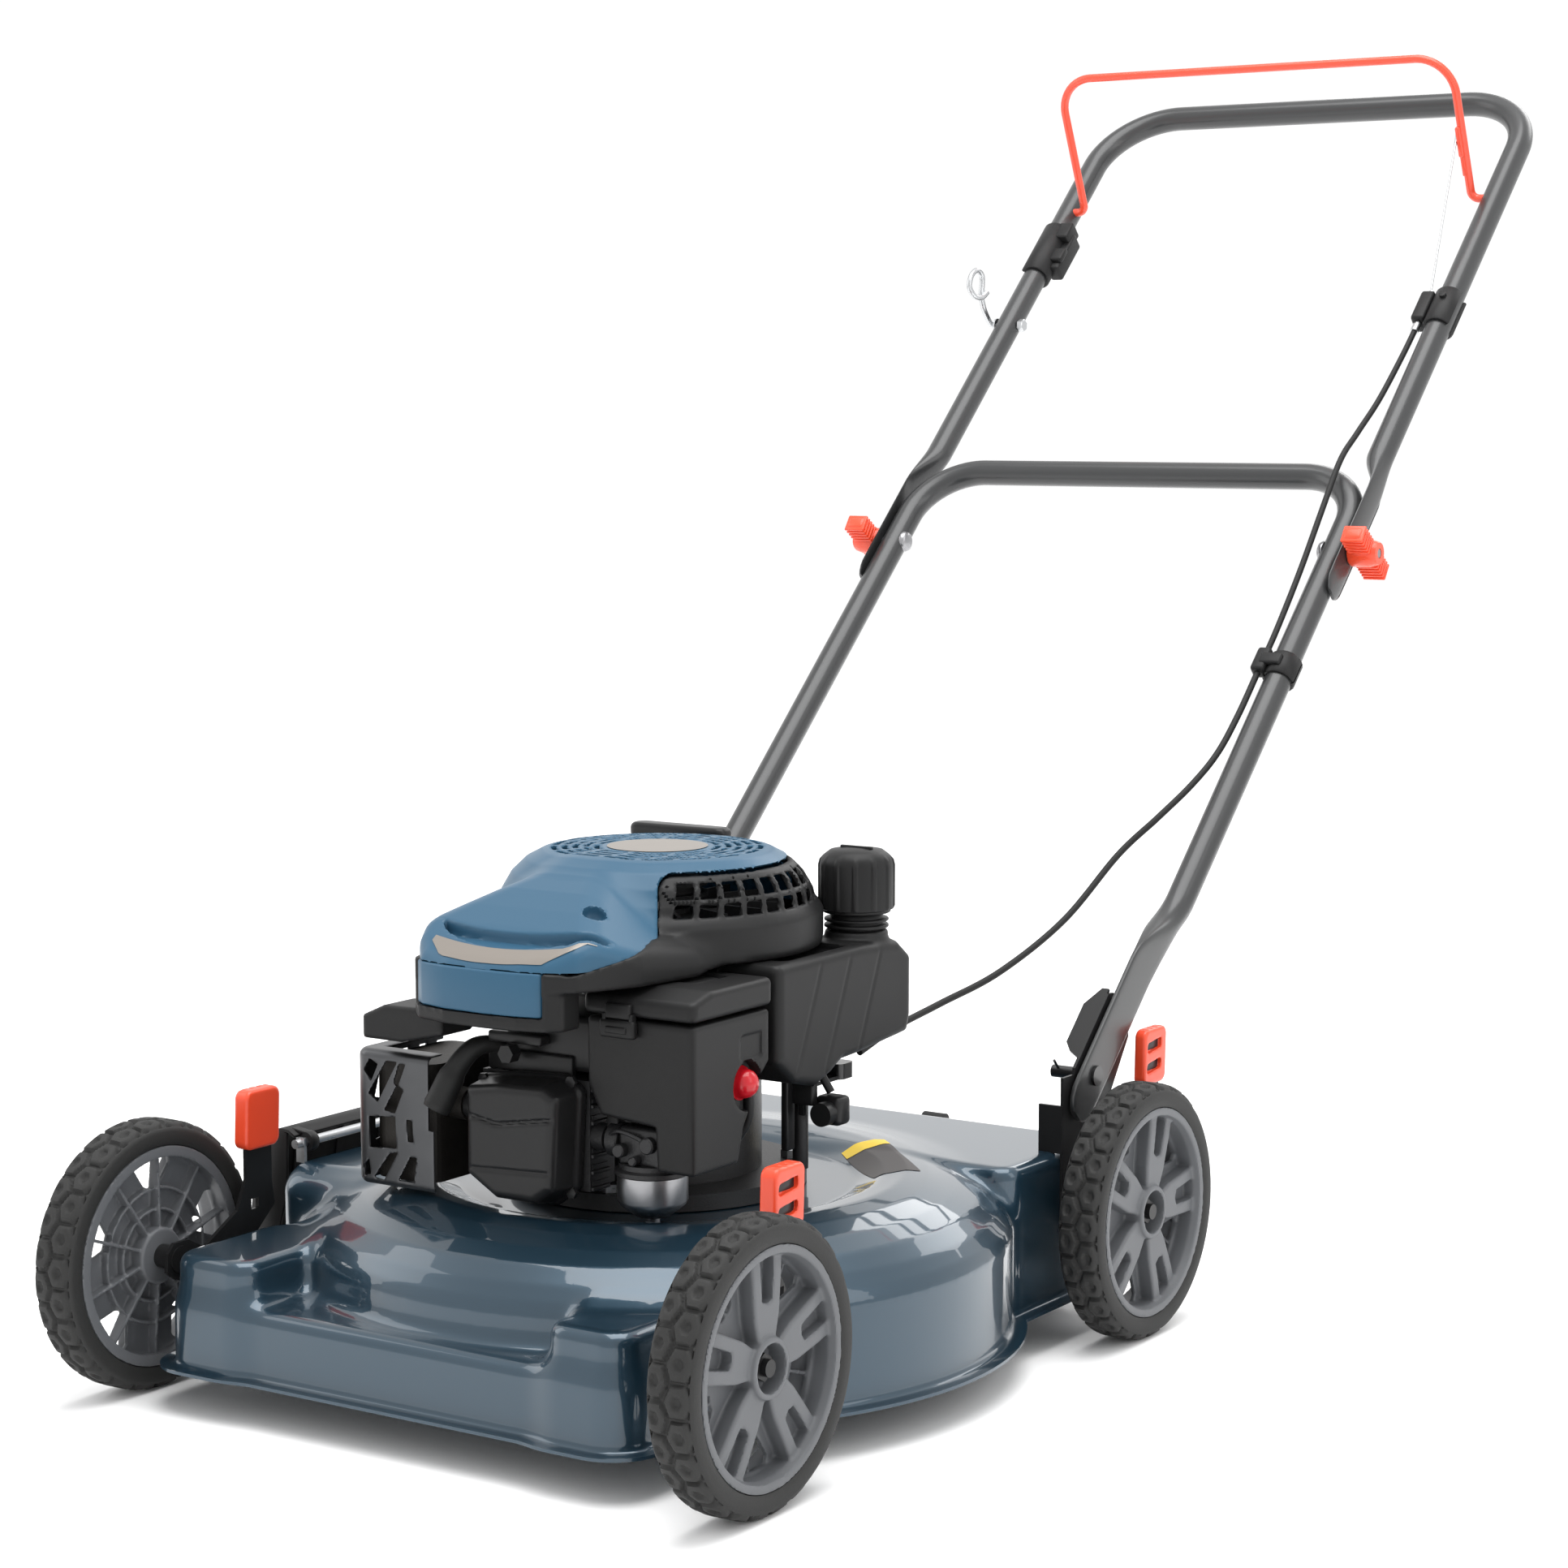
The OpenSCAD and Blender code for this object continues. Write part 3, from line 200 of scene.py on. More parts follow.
def tube(P, r, k=20, cap=True):
    P = np.asarray(P, float)
    T, U, W = frames(P)
    r = np.broadcast_to(r, (len(P),))
    a = np.linspace(0, 2 * np.pi, k, endpoint=False)
    V = (P[:, None] + r[:, None, None] * (np.cos(a)[None, :, None] * U[:, None] + np.sin(a)[None, :, None] * W[:, None])).reshape(-1, 3)
    F = [[i * k + j, i * k + (j + 1) % k, (i + 1) * k + (j + 1) % k, (i + 1) * k + j] for i in range(len(P) - 1) for j in range(k)]
    if cap:
        F += [list(range(k))[::-1], [(len(P) - 1) * k + j for j in range(k)]]
    return V, F


def rings(R, close=True):
    """Loft through a list of equal-length rings."""
    k = len(R[0]); V = np.vstack(R)
    F = [[i * k + j, i * k + (j + 1) % k, (i + 1) * k + (j + 1) % k, (i + 1) * k + j] for i in range(len(R) - 1) for j in range(k)]
    if close:
        F += [list(range(k))[::-1], [(len(R) - 1) * k + j for j in range(k)]]
    return V, F


def lathe(prof, c, ax, k=64, ref=None):
    """Turns a list of (radius, height) about axis ax through c."""
    ax = np.asarray(ax, float); ax /= np.linalg.norm(ax)
    u = np.cross(ax, [0.3, 1, 0.2] if ref is None else ref); u /= np.linalg.norm(u)
    w = np.cross(ax, u)
    a = np.linspace(0, 2 * np.pi, k, endpoint=False)
    R = [np.asarray(c) + h * ax + max(r, 1e-3) * (np.cos(a)[:, None] * u + np.sin(a)[:, None] * w) for r, h in prof]
    return rings(R)


def rbox(x0, x1, y0, y1, z0, z1, r=2.0, seg=3):
    """A box with rounded edges."""
    bm = bmesh.new()
    bmesh.ops.create_cube(bm, size=1)
    for v in bm.verts:
        v.co = Vector(((x0 + x1) / 2 + v.co.x * (x1 - x0), (y0 + y1) / 2 + v.co.y * (y1 - y0), (z0 + z1) / 2 + v.co.z * (z1 - z0)))
    r = min(r, 0.49 * min(x1 - x0, y1 - y0, z1 - z0))
    if r > 0.05:
        bmesh.ops.bevel(bm, geom=bm.edges[:], offset=r, segments=seg, profile=0.5, affect="EDGES")
    V = np.array([v.co[:] for v in bm.verts]); bm.verts.index_update()
    F = [[v.index for v in f.verts] for f in bm.faces]
    bm.free()
    return V, F


def prism(pts, d0, d1, axis, r=0.0, seg=2):
    """Extrudes a 2D outline along an axis and rounds its edges. The outline is in the two other axes, in x, y, z order."""
    bm = bmesh.new()
    def place(p, d):
        return {0: (d, p[0], p[1]), 1: (p[0], d, p[1]), 2: (p[0], p[1], d)}[axis]
    a = [bm.verts.new(place(p, d0)) for p in pts]
    b = [bm.verts.new(place(p, d1)) for p in pts]
    n = len(pts)
    bm.faces.new(a[::-1]); bm.faces.new(b)
    for i in range(n):
        bm.faces.new((a[i], a[(i + 1) % n], b[(i + 1) % n], b[i]))
    bmesh.ops.recalc_face_normals(bm, faces=bm.faces)
    if r > 0.05:
        ed = [e for e in bm.edges if e.calc_face_angle(0) > rad(24)]
        bmesh.ops.bevel(bm, geom=ed, offset=r, segments=seg, profile=0.5, affect="EDGES", clamp_overlap=True)
    bm.verts.index_update()
    V = np.array([v.co[:] for v in bm.verts]); F = [[v.index for v in f.verts] for f in bm.faces]
    bm.free()
    return V, F


def xf(VF, f):
    return f(np.asarray(VF[0], float)), VF[1]


def hnd(V):
    """From the handle's own frame (x, along, above) to the machine frame."""
    V = np.asarray(V, float)
    return np.stack([V[..., 0], 1053.7 + V[..., 1] * CA - V[..., 2] * SA, 659.7 + V[..., 1] * SA + V[..., 2] * CA], -1)


def spline(P, k=8):
    P = np.asarray(P, float); out = []
    Q = np.vstack([2 * P[0] - P[1], P, 2 * P[-1] - P[-2]])
    for i in range(1, len(Q) - 2):
        t = np.linspace(0, 1, k, endpoint=False)[:, None]
        a, b, c, d = Q[i - 1], Q[i], Q[i + 1], Q[i + 2]
        out.append(0.5 * (2 * b + (c - a) * t + (2 * a - 5 * b + 4 * c - d) * t ** 2 + (3 * b - a - 3 * c + d) * t ** 3))
    return np.vstack(out + [P[-1:]])


def filleted(P, R, k=12):
    """A polyline with its inner corners rounded to radius R."""
    P = [np.asarray(p, float) for p in P]; out = [P[0]]
    R = np.broadcast_to(R, (len(P) - 2,))
    for i in range(1, len(P) - 1):
        a, b, c = P[i - 1], P[i], P[i + 1]
        u = (a - b) / np.linalg.norm(a - b); v = (c - b) / np.linalg.norm(c - b)
        th = math.acos(np.clip(np.dot(u, v), -1, 1)); t = R[i - 1] / math.tan(th / 2)
        s, e = b + u * t, b + v * t
        m = (u + v) / np.linalg.norm(u + v); cc = b + m * R[i - 1] / math.sin(th / 2)
        for q in np.linspace(0, 1, k + 1):
            d = (s - cc) * (1 - q) + (e - cc) * q
            out.append(cc + d / np.linalg.norm(d) * R[i - 1])
    out.append(P[-1])
    return np.array(out)


def dense(P, step=8.0):
    out = [P[0]]
    for a, b in zip(P[:-1], P[1:]):
        n = max(1, int(np.linalg.norm(b - a) / step))
        for i in range(1, n + 1):
            out.append(a + (b - a) * i / n)
    return np.array(out)


# ------------------------------------------------------------------ distance fields
def smin(a, b, k):
    h = np.clip(0.5 + 0.5 * (b - a) / k, 0, 1)
    return b + (a - b) * h - k * h * (1 - h)


def smax(a, b, k):
    return -smin(-a, -b, k)


def poly(px, py, pts):
    """Signed distance to a polygon."""
    pts = np.asarray(pts, float); d = np.full(np.shape(px), 1e18); s = np.zeros(np.shape(px), bool)
    n = len(pts)
    for i in range(n):
        a, b = pts[i], pts[i - 1]
        ex, ey = b - a; wx, wy = px - a[0], py - a[1]
        t = np.clip((wx * ex + wy * ey) / (ex * ex + ey * ey), 0, 1)
        d = np.minimum(d, (wx - ex * t) ** 2 + (wy - ey * t) ** 2)
        c = ((py >= a[1]) != (py >= b[1]))
        if b[1] != a[1]:
            c &= (px < (b[0] - a[0]) * (py - a[1]) / (b[1] - a[1]) + a[0])
        s ^= c
    d = np.sqrt(d)
    return np.where(s, -d, d)


def rr(px, py, x0, x1, y0, y1, r):
    qx = np.abs(px - (x0 + x1) / 2) - (x1 - x0) / 2 + r
    qy = np.abs(py - (y0 + y1) / 2) - (y1 - y0) / 2 + r
    return np.hypot(np.maximum(qx, 0), np.maximum(qy, 0)) + np.minimum(np.maximum(qx, qy), 0) - r


def ext(d, z, z0, z1, r):
    a = d + r; b = np.abs(z - (z0 + z1) / 2) - (z1 - z0) / 2 + r
    return np.hypot(np.maximum(a, 0), np.maximum(b, 0)) + np.minimum(np.maximum(a, b), 0) - r


def capsule(X, Y, Z, a, b, r):
    a = np.asarray(a, float); d = np.asarray(b, float) - a
    t = np.clip(((X - a[0]) * d[0] + (Y - a[1]) * d[1] + (Z - a[2]) * d[2]) / np.dot(d, d), 0, 1)
    return np.sqrt((X - a[0] - d[0] * t) ** 2 + (Y - a[1] - d[1] * t) ** 2 + (Z - a[2] - d[2] * t) ** 2) - r


def nets(f, lo, hi, h, its=4):
    """Surface nets with the vertices pulled on to the surface."""
    lo = np.array(lo, float); hi = np.array(hi, float)
    n = np.ceil((hi - lo) / h).astype(int) + 1
    ax = [lo[i] + h * np.arange(n[i]) for i in range(3)]
    D = np.empty(n)
    for i0 in range(0, n[0], 24):
        X, Y, Z = np.meshgrid(ax[0][i0:i0 + 24], ax[1], ax[2], indexing="ij")
        D[i0:i0 + 24] = f(X, Y, Z)
    S = D < 0
    cnt = sum(S[i:n[0] - 1 + i, j:n[1] - 1 + j, k:n[2] - 1 + k].astype(np.int8) for i in (0, 1) for j in (0, 1) for k in (0, 1))
    act = (cnt > 0) & (cnt < 8)
    idx = np.full(act.shape, -1, int); idx[act] = np.arange(act.sum())
    I = np.argwhere(act)
    acc = np.zeros((len(I), 3)); num = np.zeros(len(I))
    for a in range(3):
        b, c = [q for q in range(3) if q != a]
        for s in (0, 1):
            for t in (0, 1):
                p = I.copy(); p[:, b] += s; p[:, c] += t
                q = p.copy(); q[:, a] += 1
                d0 = D[tuple(p.T)]; d1 = D[tuple(q.T)]
                x = (d0 < 0) != (d1 < 0)
                w = np.where(x, d0 / np.where(x, d0 - d1, 1), 0)
                e = p.astype(float); e[:, a] += w
                acc[x] += e[x]; num[x] += 1
    V = lo + h * acc / num[:, None]
    F = []
    for a in range(3):
        b, c = (a + 1) % 3, (a + 2) % 3
        A = np.moveaxis(S, a, 0)
        cross = np.moveaxis(A[:-1] != A[1:], 0, a)
        E = np.argwhere(cross)
        E = E[(E[:, b] > 0) & (E[:, c] > 0) & (E[:, b] < n[b] - 1) & (E[:, c] < n[c] - 1)]
        q = []
        for s, t in ((1, 1), (0, 1), (0, 0), (1, 0)):
            p = E.copy(); p[:, b] -= s; p[:, c] -= t
            q.append(idx[tuple(p.T)])
        q = np.stack(q, 1)
        inside = S[tuple(E.T)]
        q[~inside] = q[~inside][:, ::-1]
        F.append(q[(q >= 0).all(1)])
    F = np.vstack(F)
    e = 0.25
    for _ in range(its):
        x, y, z = V.T
        d = f(x, y, z)
        g = np.stack([f(x + e, y, z) - f(x - e, y, z), f(x, y + e, z) - f(x, y - e, z), f(x, y, z + e) - f(x, y, z - e)], 1) / (2 * e)
        st = -d[:, None] * g / np.maximum((g * g).sum(1), 0.3)[:, None]
        L = np.linalg.norm(st, axis=1)[:, None]
        V = V + st * np.minimum(1, 0.6 * h / np.maximum(L, 1e-9))
    return V, F.tolist()


# ------------------------------------------------------------------ deck
def deck_f(X, Y, Z):
    R = np.hypot(X - EX, Y - EY)
    d = poly(R, Z, [(-40, -30), (264, -30), (264, 104), (261, 111), (253, 121), (241, 131), (224, 138.5), (204, 144.5),
                    (187, 147.5), (171, 146), (160, 141.5), (150, 137.5), (-40, 137.5)]) - 3.8
    d = smin(d, ext(rr(X, Y, -220, 187, -30, 70, 24), Z, -40, 81, 10), 16)
    d = smin(d, ext(rr(X, Y, -220, -146, -30, 90, 20), Z, -40, 113.5, 9), 20)
    d = smin(d, ext(rr(X, Y, 118, 187, -30, 60, 20), Z, -40, 112, 9), 20)
    d = smin(d, ext(rr(X, Y, -238.4, -150, 106, 396, 18), Z, -40, 150 - np.clip((130 - Y) / 24, 0, 1) * 12, 11), 16)
    d = smin(d, ext(rr(X, Y, -231.1, 231.1, 408, 558, 18), Z, -40, 147, 9), 12)
    return smax(d, -238.4 - X, 3)


def deck():
    h = 3.4
    hh = h * 1
    V, F = nets(deck_f, (-246, -40, 38 - hh / 2), (296, 570, 156), h)
    # flat flange along the bottom edge
    cnt = {}
    for f in F:
        for i in range(4):
            k = (f[i], f[(i + 1) % 4]); cnt[k] = cnt.get(k, 0) + 1
    be = {a: b for (a, b) in cnt if (b, a) not in cnt}
    keys = list(be); V = np.asarray(V)
    B = np.array(sorted(set(keys) | set(be.values())))
    x, y, z = V[B].T; e = 0.5
    g = np.stack([deck_f(x + e, y, z) - deck_f(x - e, y, z), deck_f(x, y + e, z) - deck_f(x, y - e, z)], 1)
    g /= np.maximum(np.linalg.norm(g, axis=1), 1e-6)[:, None]
    side = (x < -226) & (y > 60) & (y < 475)
    w = np.where(side, 0.12, 1.0)
    w = np.where((y > 540), 0.35, w)
    pos = {v: i for i, v in enumerate(B)}
    rows = [V[B]]
    for off, zz in ((0.2, 35.6), (1.3, 33.6), (3.6, 32.5), (9.5, 32.3), (11.4, 32.4)):
        P = V[B].copy(); P[:, :2] += g * (off * w)[:, None]; P[:, 2] = zz
        rows.append(P)
    base = len(V); V = np.vstack([V] + rows[1:]); nb = len(B)
    for a, b in be.items():
        for q in range(5):
            A0 = a if q == 0 else base + (q - 1) * nb + pos[a]
            B0 = b if q == 0 else base + (q - 1) * nb + pos[b]
            F.append([B0, A0, base + q * nb + pos[a], base + q * nb + pos[b]])
    o = add("deck_skin", V, F, "deck_paint", node="deck", replaces=("deck",), smooth=60, solid=2.3)
    cut = bpy.data.meshes.new("cut_chute")
    a = Acc()
    a.put(*rbox(-262, -226, 128, 380, 20, 141, 9))
    a.put(*lathe([(31, 90), (31, 200)], (EX, EY, 0), (0, 0, 1), 48))
    P = a.V.copy(); P[:, 1] -= YS; P *= 0.001
    cut.from_pydata(P.tolist(), [], a.F)
    c = bpy.data.objects.new("cut_chute", cut)
    bpy.context.scene.collection.objects.link(c)
    md = o.modifiers.new("cut", "BOOLEAN"); md.operation = "DIFFERENCE"; md.object = c; md.solver = "EXACT"
    bake(o, c)
    return o


def bake(o, *gone):
    """Applies all modifiers, then removes the cutters."""
    dg = bpy.context.evaluated_depsgraph_get()
    me = bpy.data.meshes.new_from_object(o.evaluated_get(dg))
    old = o.data
    o.modifiers.clear()
    o.data = me
    for g in gone:
        bpy.data.objects.remove(g)
    bpy.data.meshes.remove(old)
    me.shade_smooth() if hasattr(me, "shade_smooth") else None
    me.set_sharp_from_angle(angle=rad(50))


def decal(name, f, outline, mat, node, up=None, lift=0.35, step=2.5, axis=2, start=200.0, sgn=1):
    """A thin printed patch that follows surface f; outline is in the two axes other than axis."""
    outline = np.asarray(outline, float)
    lo, hi = outline.min(0), outline.max(0)
    nx, ny = [max(2, int((hi[i] - lo[i]) / step)) for i in (0, 1)]
    gx, gy = np.linspace(lo[0], hi[0], nx), np.linspace(lo[1], hi[1], ny)
    # map a unit grid into a quad outline, or keep a disc
    if len(outline) == 4:
        s, t = np.meshgrid(np.linspace(0, 1, nx), np.linspace(0, 1, ny), indexing="ij")
        P = ((1 - s) * (1 - t))[..., None] * outline[0] + (s * (1 - t))[..., None] * outline[1] + (s * t)[..., None] * outline[2] + ((1 - s) * t)[..., None] * outline[3]
        P = P.reshape(-1, 2); shape = (nx, ny)
        F = [[i * ny + j, (i + 1) * ny + j, (i + 1) * ny + j + 1, i * ny + j + 1] for i in range(nx - 1) for j in range(ny - 1)]
    else:
        c = outline.mean(0); k = len(outline); ns = 8
        P = np.vstack([[c]] + [c + (outline - c) * (q + 1) / ns for q in range(ns)])
        F = [[0, 1 + j, 1 + (j + 1) % k] for j in range(k)]
        F += [[1 + q * k + j, 1 + (q + 1) * k + j, 1 + (q + 1) * k + (j + 1) % k, 1 + q * k + (j + 1) % k] for q in range(ns - 1) for j in range(k)]
    o2 = [q for q in range(3) if q != axis]
    V = np.zeros((len(P), 3)); V[:, o2[0]] = P[:, 0]; V[:, o2[1]] = P[:, 1]; V[:, axis] = start
    for _ in range(60):
        d = f(*V.T)
        V[:, axis] -= sgn * (d - lift) * 0.8
    return add(name, V, F, mat, node=node, smooth=180)


# ------------------------------------------------------------------ engine skins
def form_f(X, Y, Z):
    """The common outer form of the cover and the housing under it."""
    R = np.hypot(X - EX, Y - EY)
    d = poly(R, Z, [(-20, 320), (117, 320), (117, 350), (114, 364), (107, 376), (97, 385.5), (86, 391.2), (79, 392.8), (-20, 393)]) - 3
    plan = poly(X, Y, [(-57, 68), (-45, 54), (-20, 47.5), (14, 46.5), (42, 49), (62, 55), (78, 66), (98, 112), (106, 170), (106, 260), (-88, 260), (-92, 200), (-76, 112)]) - 4
    side = poly(Y, Z, [(20, 280), (20, 331), (46, 331), (54, 337), (66, 345), (84, 355), (104, 365), (126, 375), (150, 383.5), (176, 388), (210, 390), (210, 280)]) - 3
    nose = smax(plan, side, 9)
    # ridge planes that fall away to both sides of the nose
    nose = smax(nose, (Z - 383) * 0.80 + (X - 44) * 0.60, 8)
    nose = smax(nose, (Z - 383) * 0.84 - (X + 26) * 0.54, 8)
    return smin(d, nose, 12)


BAY = ((-54, 62), 93.0)


def bay_f(X, Y, Z, g=0.0):
    """Grille field on the fuel side: a range of angle outside a radius."""
    R = np.hypot(X - EX, Y - EY); A = np.degrees(np.arctan2(Y - EY, X - EX))
    (a0, a1), r0 = BAY
    c = (a0 + a1) / 2
    w = np.abs(A - c) - (a1 - a0) / 2
    d = ext(w * np.pi / 180 * 105, Z, 300, 386 + g, 10)
    return smax(d - g, r0 - g - R, 2)


def cover_f(X, Y, Z):
    F0 = form_f(X, Y, Z)
    d = F0
    # grille bay on the fuel side stays black
    d = smax(d, -bay_f(X, Y, Z, 0.8), 1.2)
    zb = 329 + np.clip((Y - 60) / 80, 0, 1) * 17
    d = smax(d, zb - Z, 1.0)
    # screw recess, then the crescent step above the name plate
    rec = capsule(X, Y, Z, (61, 112, 366), (76, 94, 392), 8.4)
    d = smax(d, -rec, 0.8)
    yb = 77 + 7 * ((X - 8) / 62) ** 2 + 0.5 * np.maximum(0, X - 70)
    wd = 15.5 * np.clip(1 - ((X - 22) / 72) ** 2, 0, 1) ** 0.45
    cut = smax(np.maximum(Y - yb, yb - wd - Y), 344.5 + (Y - 64) * 0.14 - Z, 1.0)
    d = smax(d, -cut, 1.2)
    return smax(d, -np.maximum(np.maximum(F0 + 4.0, 3.0 - cut), 3.0 - rec), 0.6)


def slots_f(X, Y, Z):
    R = np.hypot(X - EX, Y - EY); A = np.degrees(np.arctan2(Y - EY, X - EX))
    s = np.full(np.shape(X), 99.0)
    for i, r in enumerate((45.5, 53.5, 61.5, 69.5, 77.5)):
        n = (9, 11, 13, 15, 17)[i]; p = 360 / n
        t = (A + i * 11) % p - p / 2
        L = np.abs(t) * np.pi / 180 * R - (np.pi * r / n - 2.6)
        s = np.minimum(s, ext(L + 0 * R, R, r - 1.9, r + 1.9, 1.2))
    return s


def cover():
    def f(X, Y, Z):
        d = cover_f(X, Y, Z)
        s = slots_f(X, Y, Z)
        return smax(d, -np.maximum(s, 389.5 - Z), 0.8)
    h = 1.9
    hh = h * 1
    V, F = nets(f, (-122, 36, 332), (142, 390, 400), h)
    a = Acc().put(V, F)
    # front panel below the nose
    fp = [(-56.5, 60), (-54, 56), (-45, 49.6), (-20, 43.6), (14, 42.4), (42, 45), (56, 48.6), (60, 50.4), (60.6, 57), (40, 62), (-40, 64)]
    a.put(*prism(fp, 301, 332, 2, 1.6, 3))
    add("cover_skin", a.V, a.F, "cover_blue", node="engine_cover", replaces=("engine_cover",), smooth=48)
    # plates
    ang = np.linspace(0, 2 * np.pi, 48, endpoint=False)
    decal("plate_round", cover_f, np.stack([EX + 38 * np.cos(ang), EY + 38 * np.sin(ang)], 1), "label_tan", "engine_cover", start=400, lift=0.5)
    t = np.linspace(-45, 86, 30)
    up = [(x, 60 + 8 * ((x - 12) / 66) ** 2 + 0.75 * max(0, x - 70)) for x in t]
    dn = [(x, min(up[i][1] - 0.8, max(47.8 + 5 * ((x - 8) / 52) ** 2 + 0.55 * max(0, -30 - x), 54.5 + 0.8 * (x - 62), 68.5 + 2.2 * (x - 78)))) for i, x in enumerate(t)]
    V = []; F = []
    for i in range(len(t)):
        for j in range(7):
            q = j / 6
            V.append((t[i], dn[i][1] * (1 - q) + up[i][1] * q, 400))
    V = np.array(V, float)
    for _ in range(60):
        V[:, 2] -= (form_f(*V.T) - 0.5) * 0.8
    F = [[i * 7 + j, (i + 1) * 7 + j, (i + 1) * 7 + j + 1, i * 7 + j + 1] for i in range(len(t) - 1) for j in range(6)]
    add("plate_nose", V, F, "label_tan", node="engine_cover", smooth=180)


def housing_f(X, Y, Z):
    R = np.hypot(X - EX, Y - EY); A = np.degrees(np.arctan2(Y - EY, X - EX))
    F0 = form_f(X, Y, Z)
    zt = 330.5 + np.clip((Y - 60) / 80, 0, 1) * 17
    zl = 318.5 + np.clip((Y - 168) / 30, 0, 1) * 6.5
    d = smax(smax(F0 - 1.6, zl - Z, 2), Z - zt, 0.8)
    d = smin(d, smax(smax(F0 + 0.2, 330 - Z, 1), bay_f(X, Y, Z), 1.5), 2)
    # shoulder that flares out under the grille
    d = smin(d, smax(smax(R - 123, np.abs(Z - 340) - 14, 7), 62 - X, 8), 8)
    # hollow inside
    d = smax(d, -smax(F0 + 3.4, zl + 3.5 - Z, 1), 1)
    # nose frame
    fr = poly(X, Y, [(-58, 78), (-58, 64), (-46, 52), (-20, 46), (14, 45.2), (42, 48), (62, 53.5), (69, 60), (69, 76)]) - 4
    fr = smax(fr, np.abs(Z - 311.5) - 20.5, 2)
    d = smin(d, fr, 3)
    d = smax(d, -ext(rr(X, Z, -57.5, 61.5, 300.4, 372, 1), Y, 0, 58, 0.5), 0.6)
    # lug over the exhaust
    lug = ext(poly(X, Z, [(-118, 268), (-118, 282), (-100, 290), (-48, 291), (-48, 276), (-84, 268)]) - 2, Y, 71, 109, 3)
    lug = smax(lug, -ext(rr(X, Z, -114, -50, 240, 279, 4), Y, 75, 130, 2), 1)
    d = smin(d, lug, 2)
    # grille windows between slanted ribs
    k = np.clip(np.round((A + 44.5) / 9.3), 0, 10)
    gx = (np.abs(A + 44.5 - 9.3 * k - (Z - 370) * 0.10) * np.pi / 180 - 0.0) * 106 - 6.3
    gz = np.minimum(np.abs(Z - 362.4) - 4.6, np.abs(Z - 376) - 5.4)
    d = smax(d, -np.maximum(np.maximum(gx, gz), 84 - R), 0.8)
    return d


def housing():
    V, F = nets(housing_f, (-128, 36, 260), (142, 392, 390), 2.1)
    a = Acc().put(V, F)
    V, F = lathe([(40, 288), (60, 288), (62, 290), (66, 324), (42, 324), (40, 288)], (EX, EY, 0), (0, 0, 1), 64)
    a.put(V, F[:-2])
    add("housing_skin", a.V, a.F, "black_plastic", node="blower_housing", replaces=("blower_housing",), smooth=50)


def tank():
    out = [(219, 318), (219, 254), (240, 238), (266, 232), (284, 238), (300, 246), (322, 247), (390, 253), (393, 262), (393, 305), (378, 316), (330, 319)]
    def f(X, Y, Z):
        d = ext(poly(Y, Z, out) - 5, X, 92, 150, 7)
        d = smax(d, -ext(rr(X, Y, 103, 139, 236, 322, 7), Z, 317.5, 340, 2), 2)
        for y in (252, 292, 334):
            d = smax(d, -capsule(X, Y, Z, (150.6, y - 16, 236), (150.6, y + 18, 316), 1.3), 0.8)
        d = smin(d, ext(np.hypot(X - 122, Y - 362) - 24, Z, 316, 330, 3), 5)
        return d
    V, F = nets(f, (88, 208, 222), (156, 404, 336), 2.0)
    a = Acc().put(V, F)
    for r, z0, z1 in ((20, 326, 342), (24.5, 331.5, 334), (24.5, 336.5, 338.6)):
        a.put(*lathe([(0, z0), (r - 0.6, z0), (r, z0 + 0.6), (r, z1 - 0.6), (r - 0.6, z1), (0, z1)], (122, 362, 0), (0, 0, 1)))
    add("tank_skin", a.V, a.F, "black_plastic", node="fuel_tank", replaces=("fuel_tank",), smooth=50)
    # cap with ribs
    k = 144; R = []
    prof = [(0, 342.8), (25, 342.8), (26, 343.6), (26, 345), (28.2, 346), (29, 348), (29, 379), (28, 383), (25.5, 386), (23, 388), (20, 390.2), (8, 391.6), (0, 391.8)]
    an = np.linspace(0, 2 * np.pi, k, endpoint=False)
    for r, z in prof:
        rib = (np.cos(an * 12) > 0.78) * 1.1 if 347 < z < 384 else 0
        rr_ = max(r, 1e-3) + rib - (0.9 if 347 < z < 384 else 0)
        R.append(np.stack([122 + rr_ * np.cos(an), 362 + rr_ * np.sin(an), np.full(k, z)], 1))
    a = Acc().put(*rings(R))
    a.put(*prism([(-14, -1.6), (14, -1.6), (14, 1.6), (-14, 1.6)], 390, 393, 2, 0.8))
    n = len(a.V) - 0
    V = a.V; m = V[:, 1] < 100
    V[m, 0] += 122; V[m, 1] += 362
    add("cap_skin", V, a.F, "black_plastic", node="fuel_cap", replaces=("fuel_cap",), smooth=32)


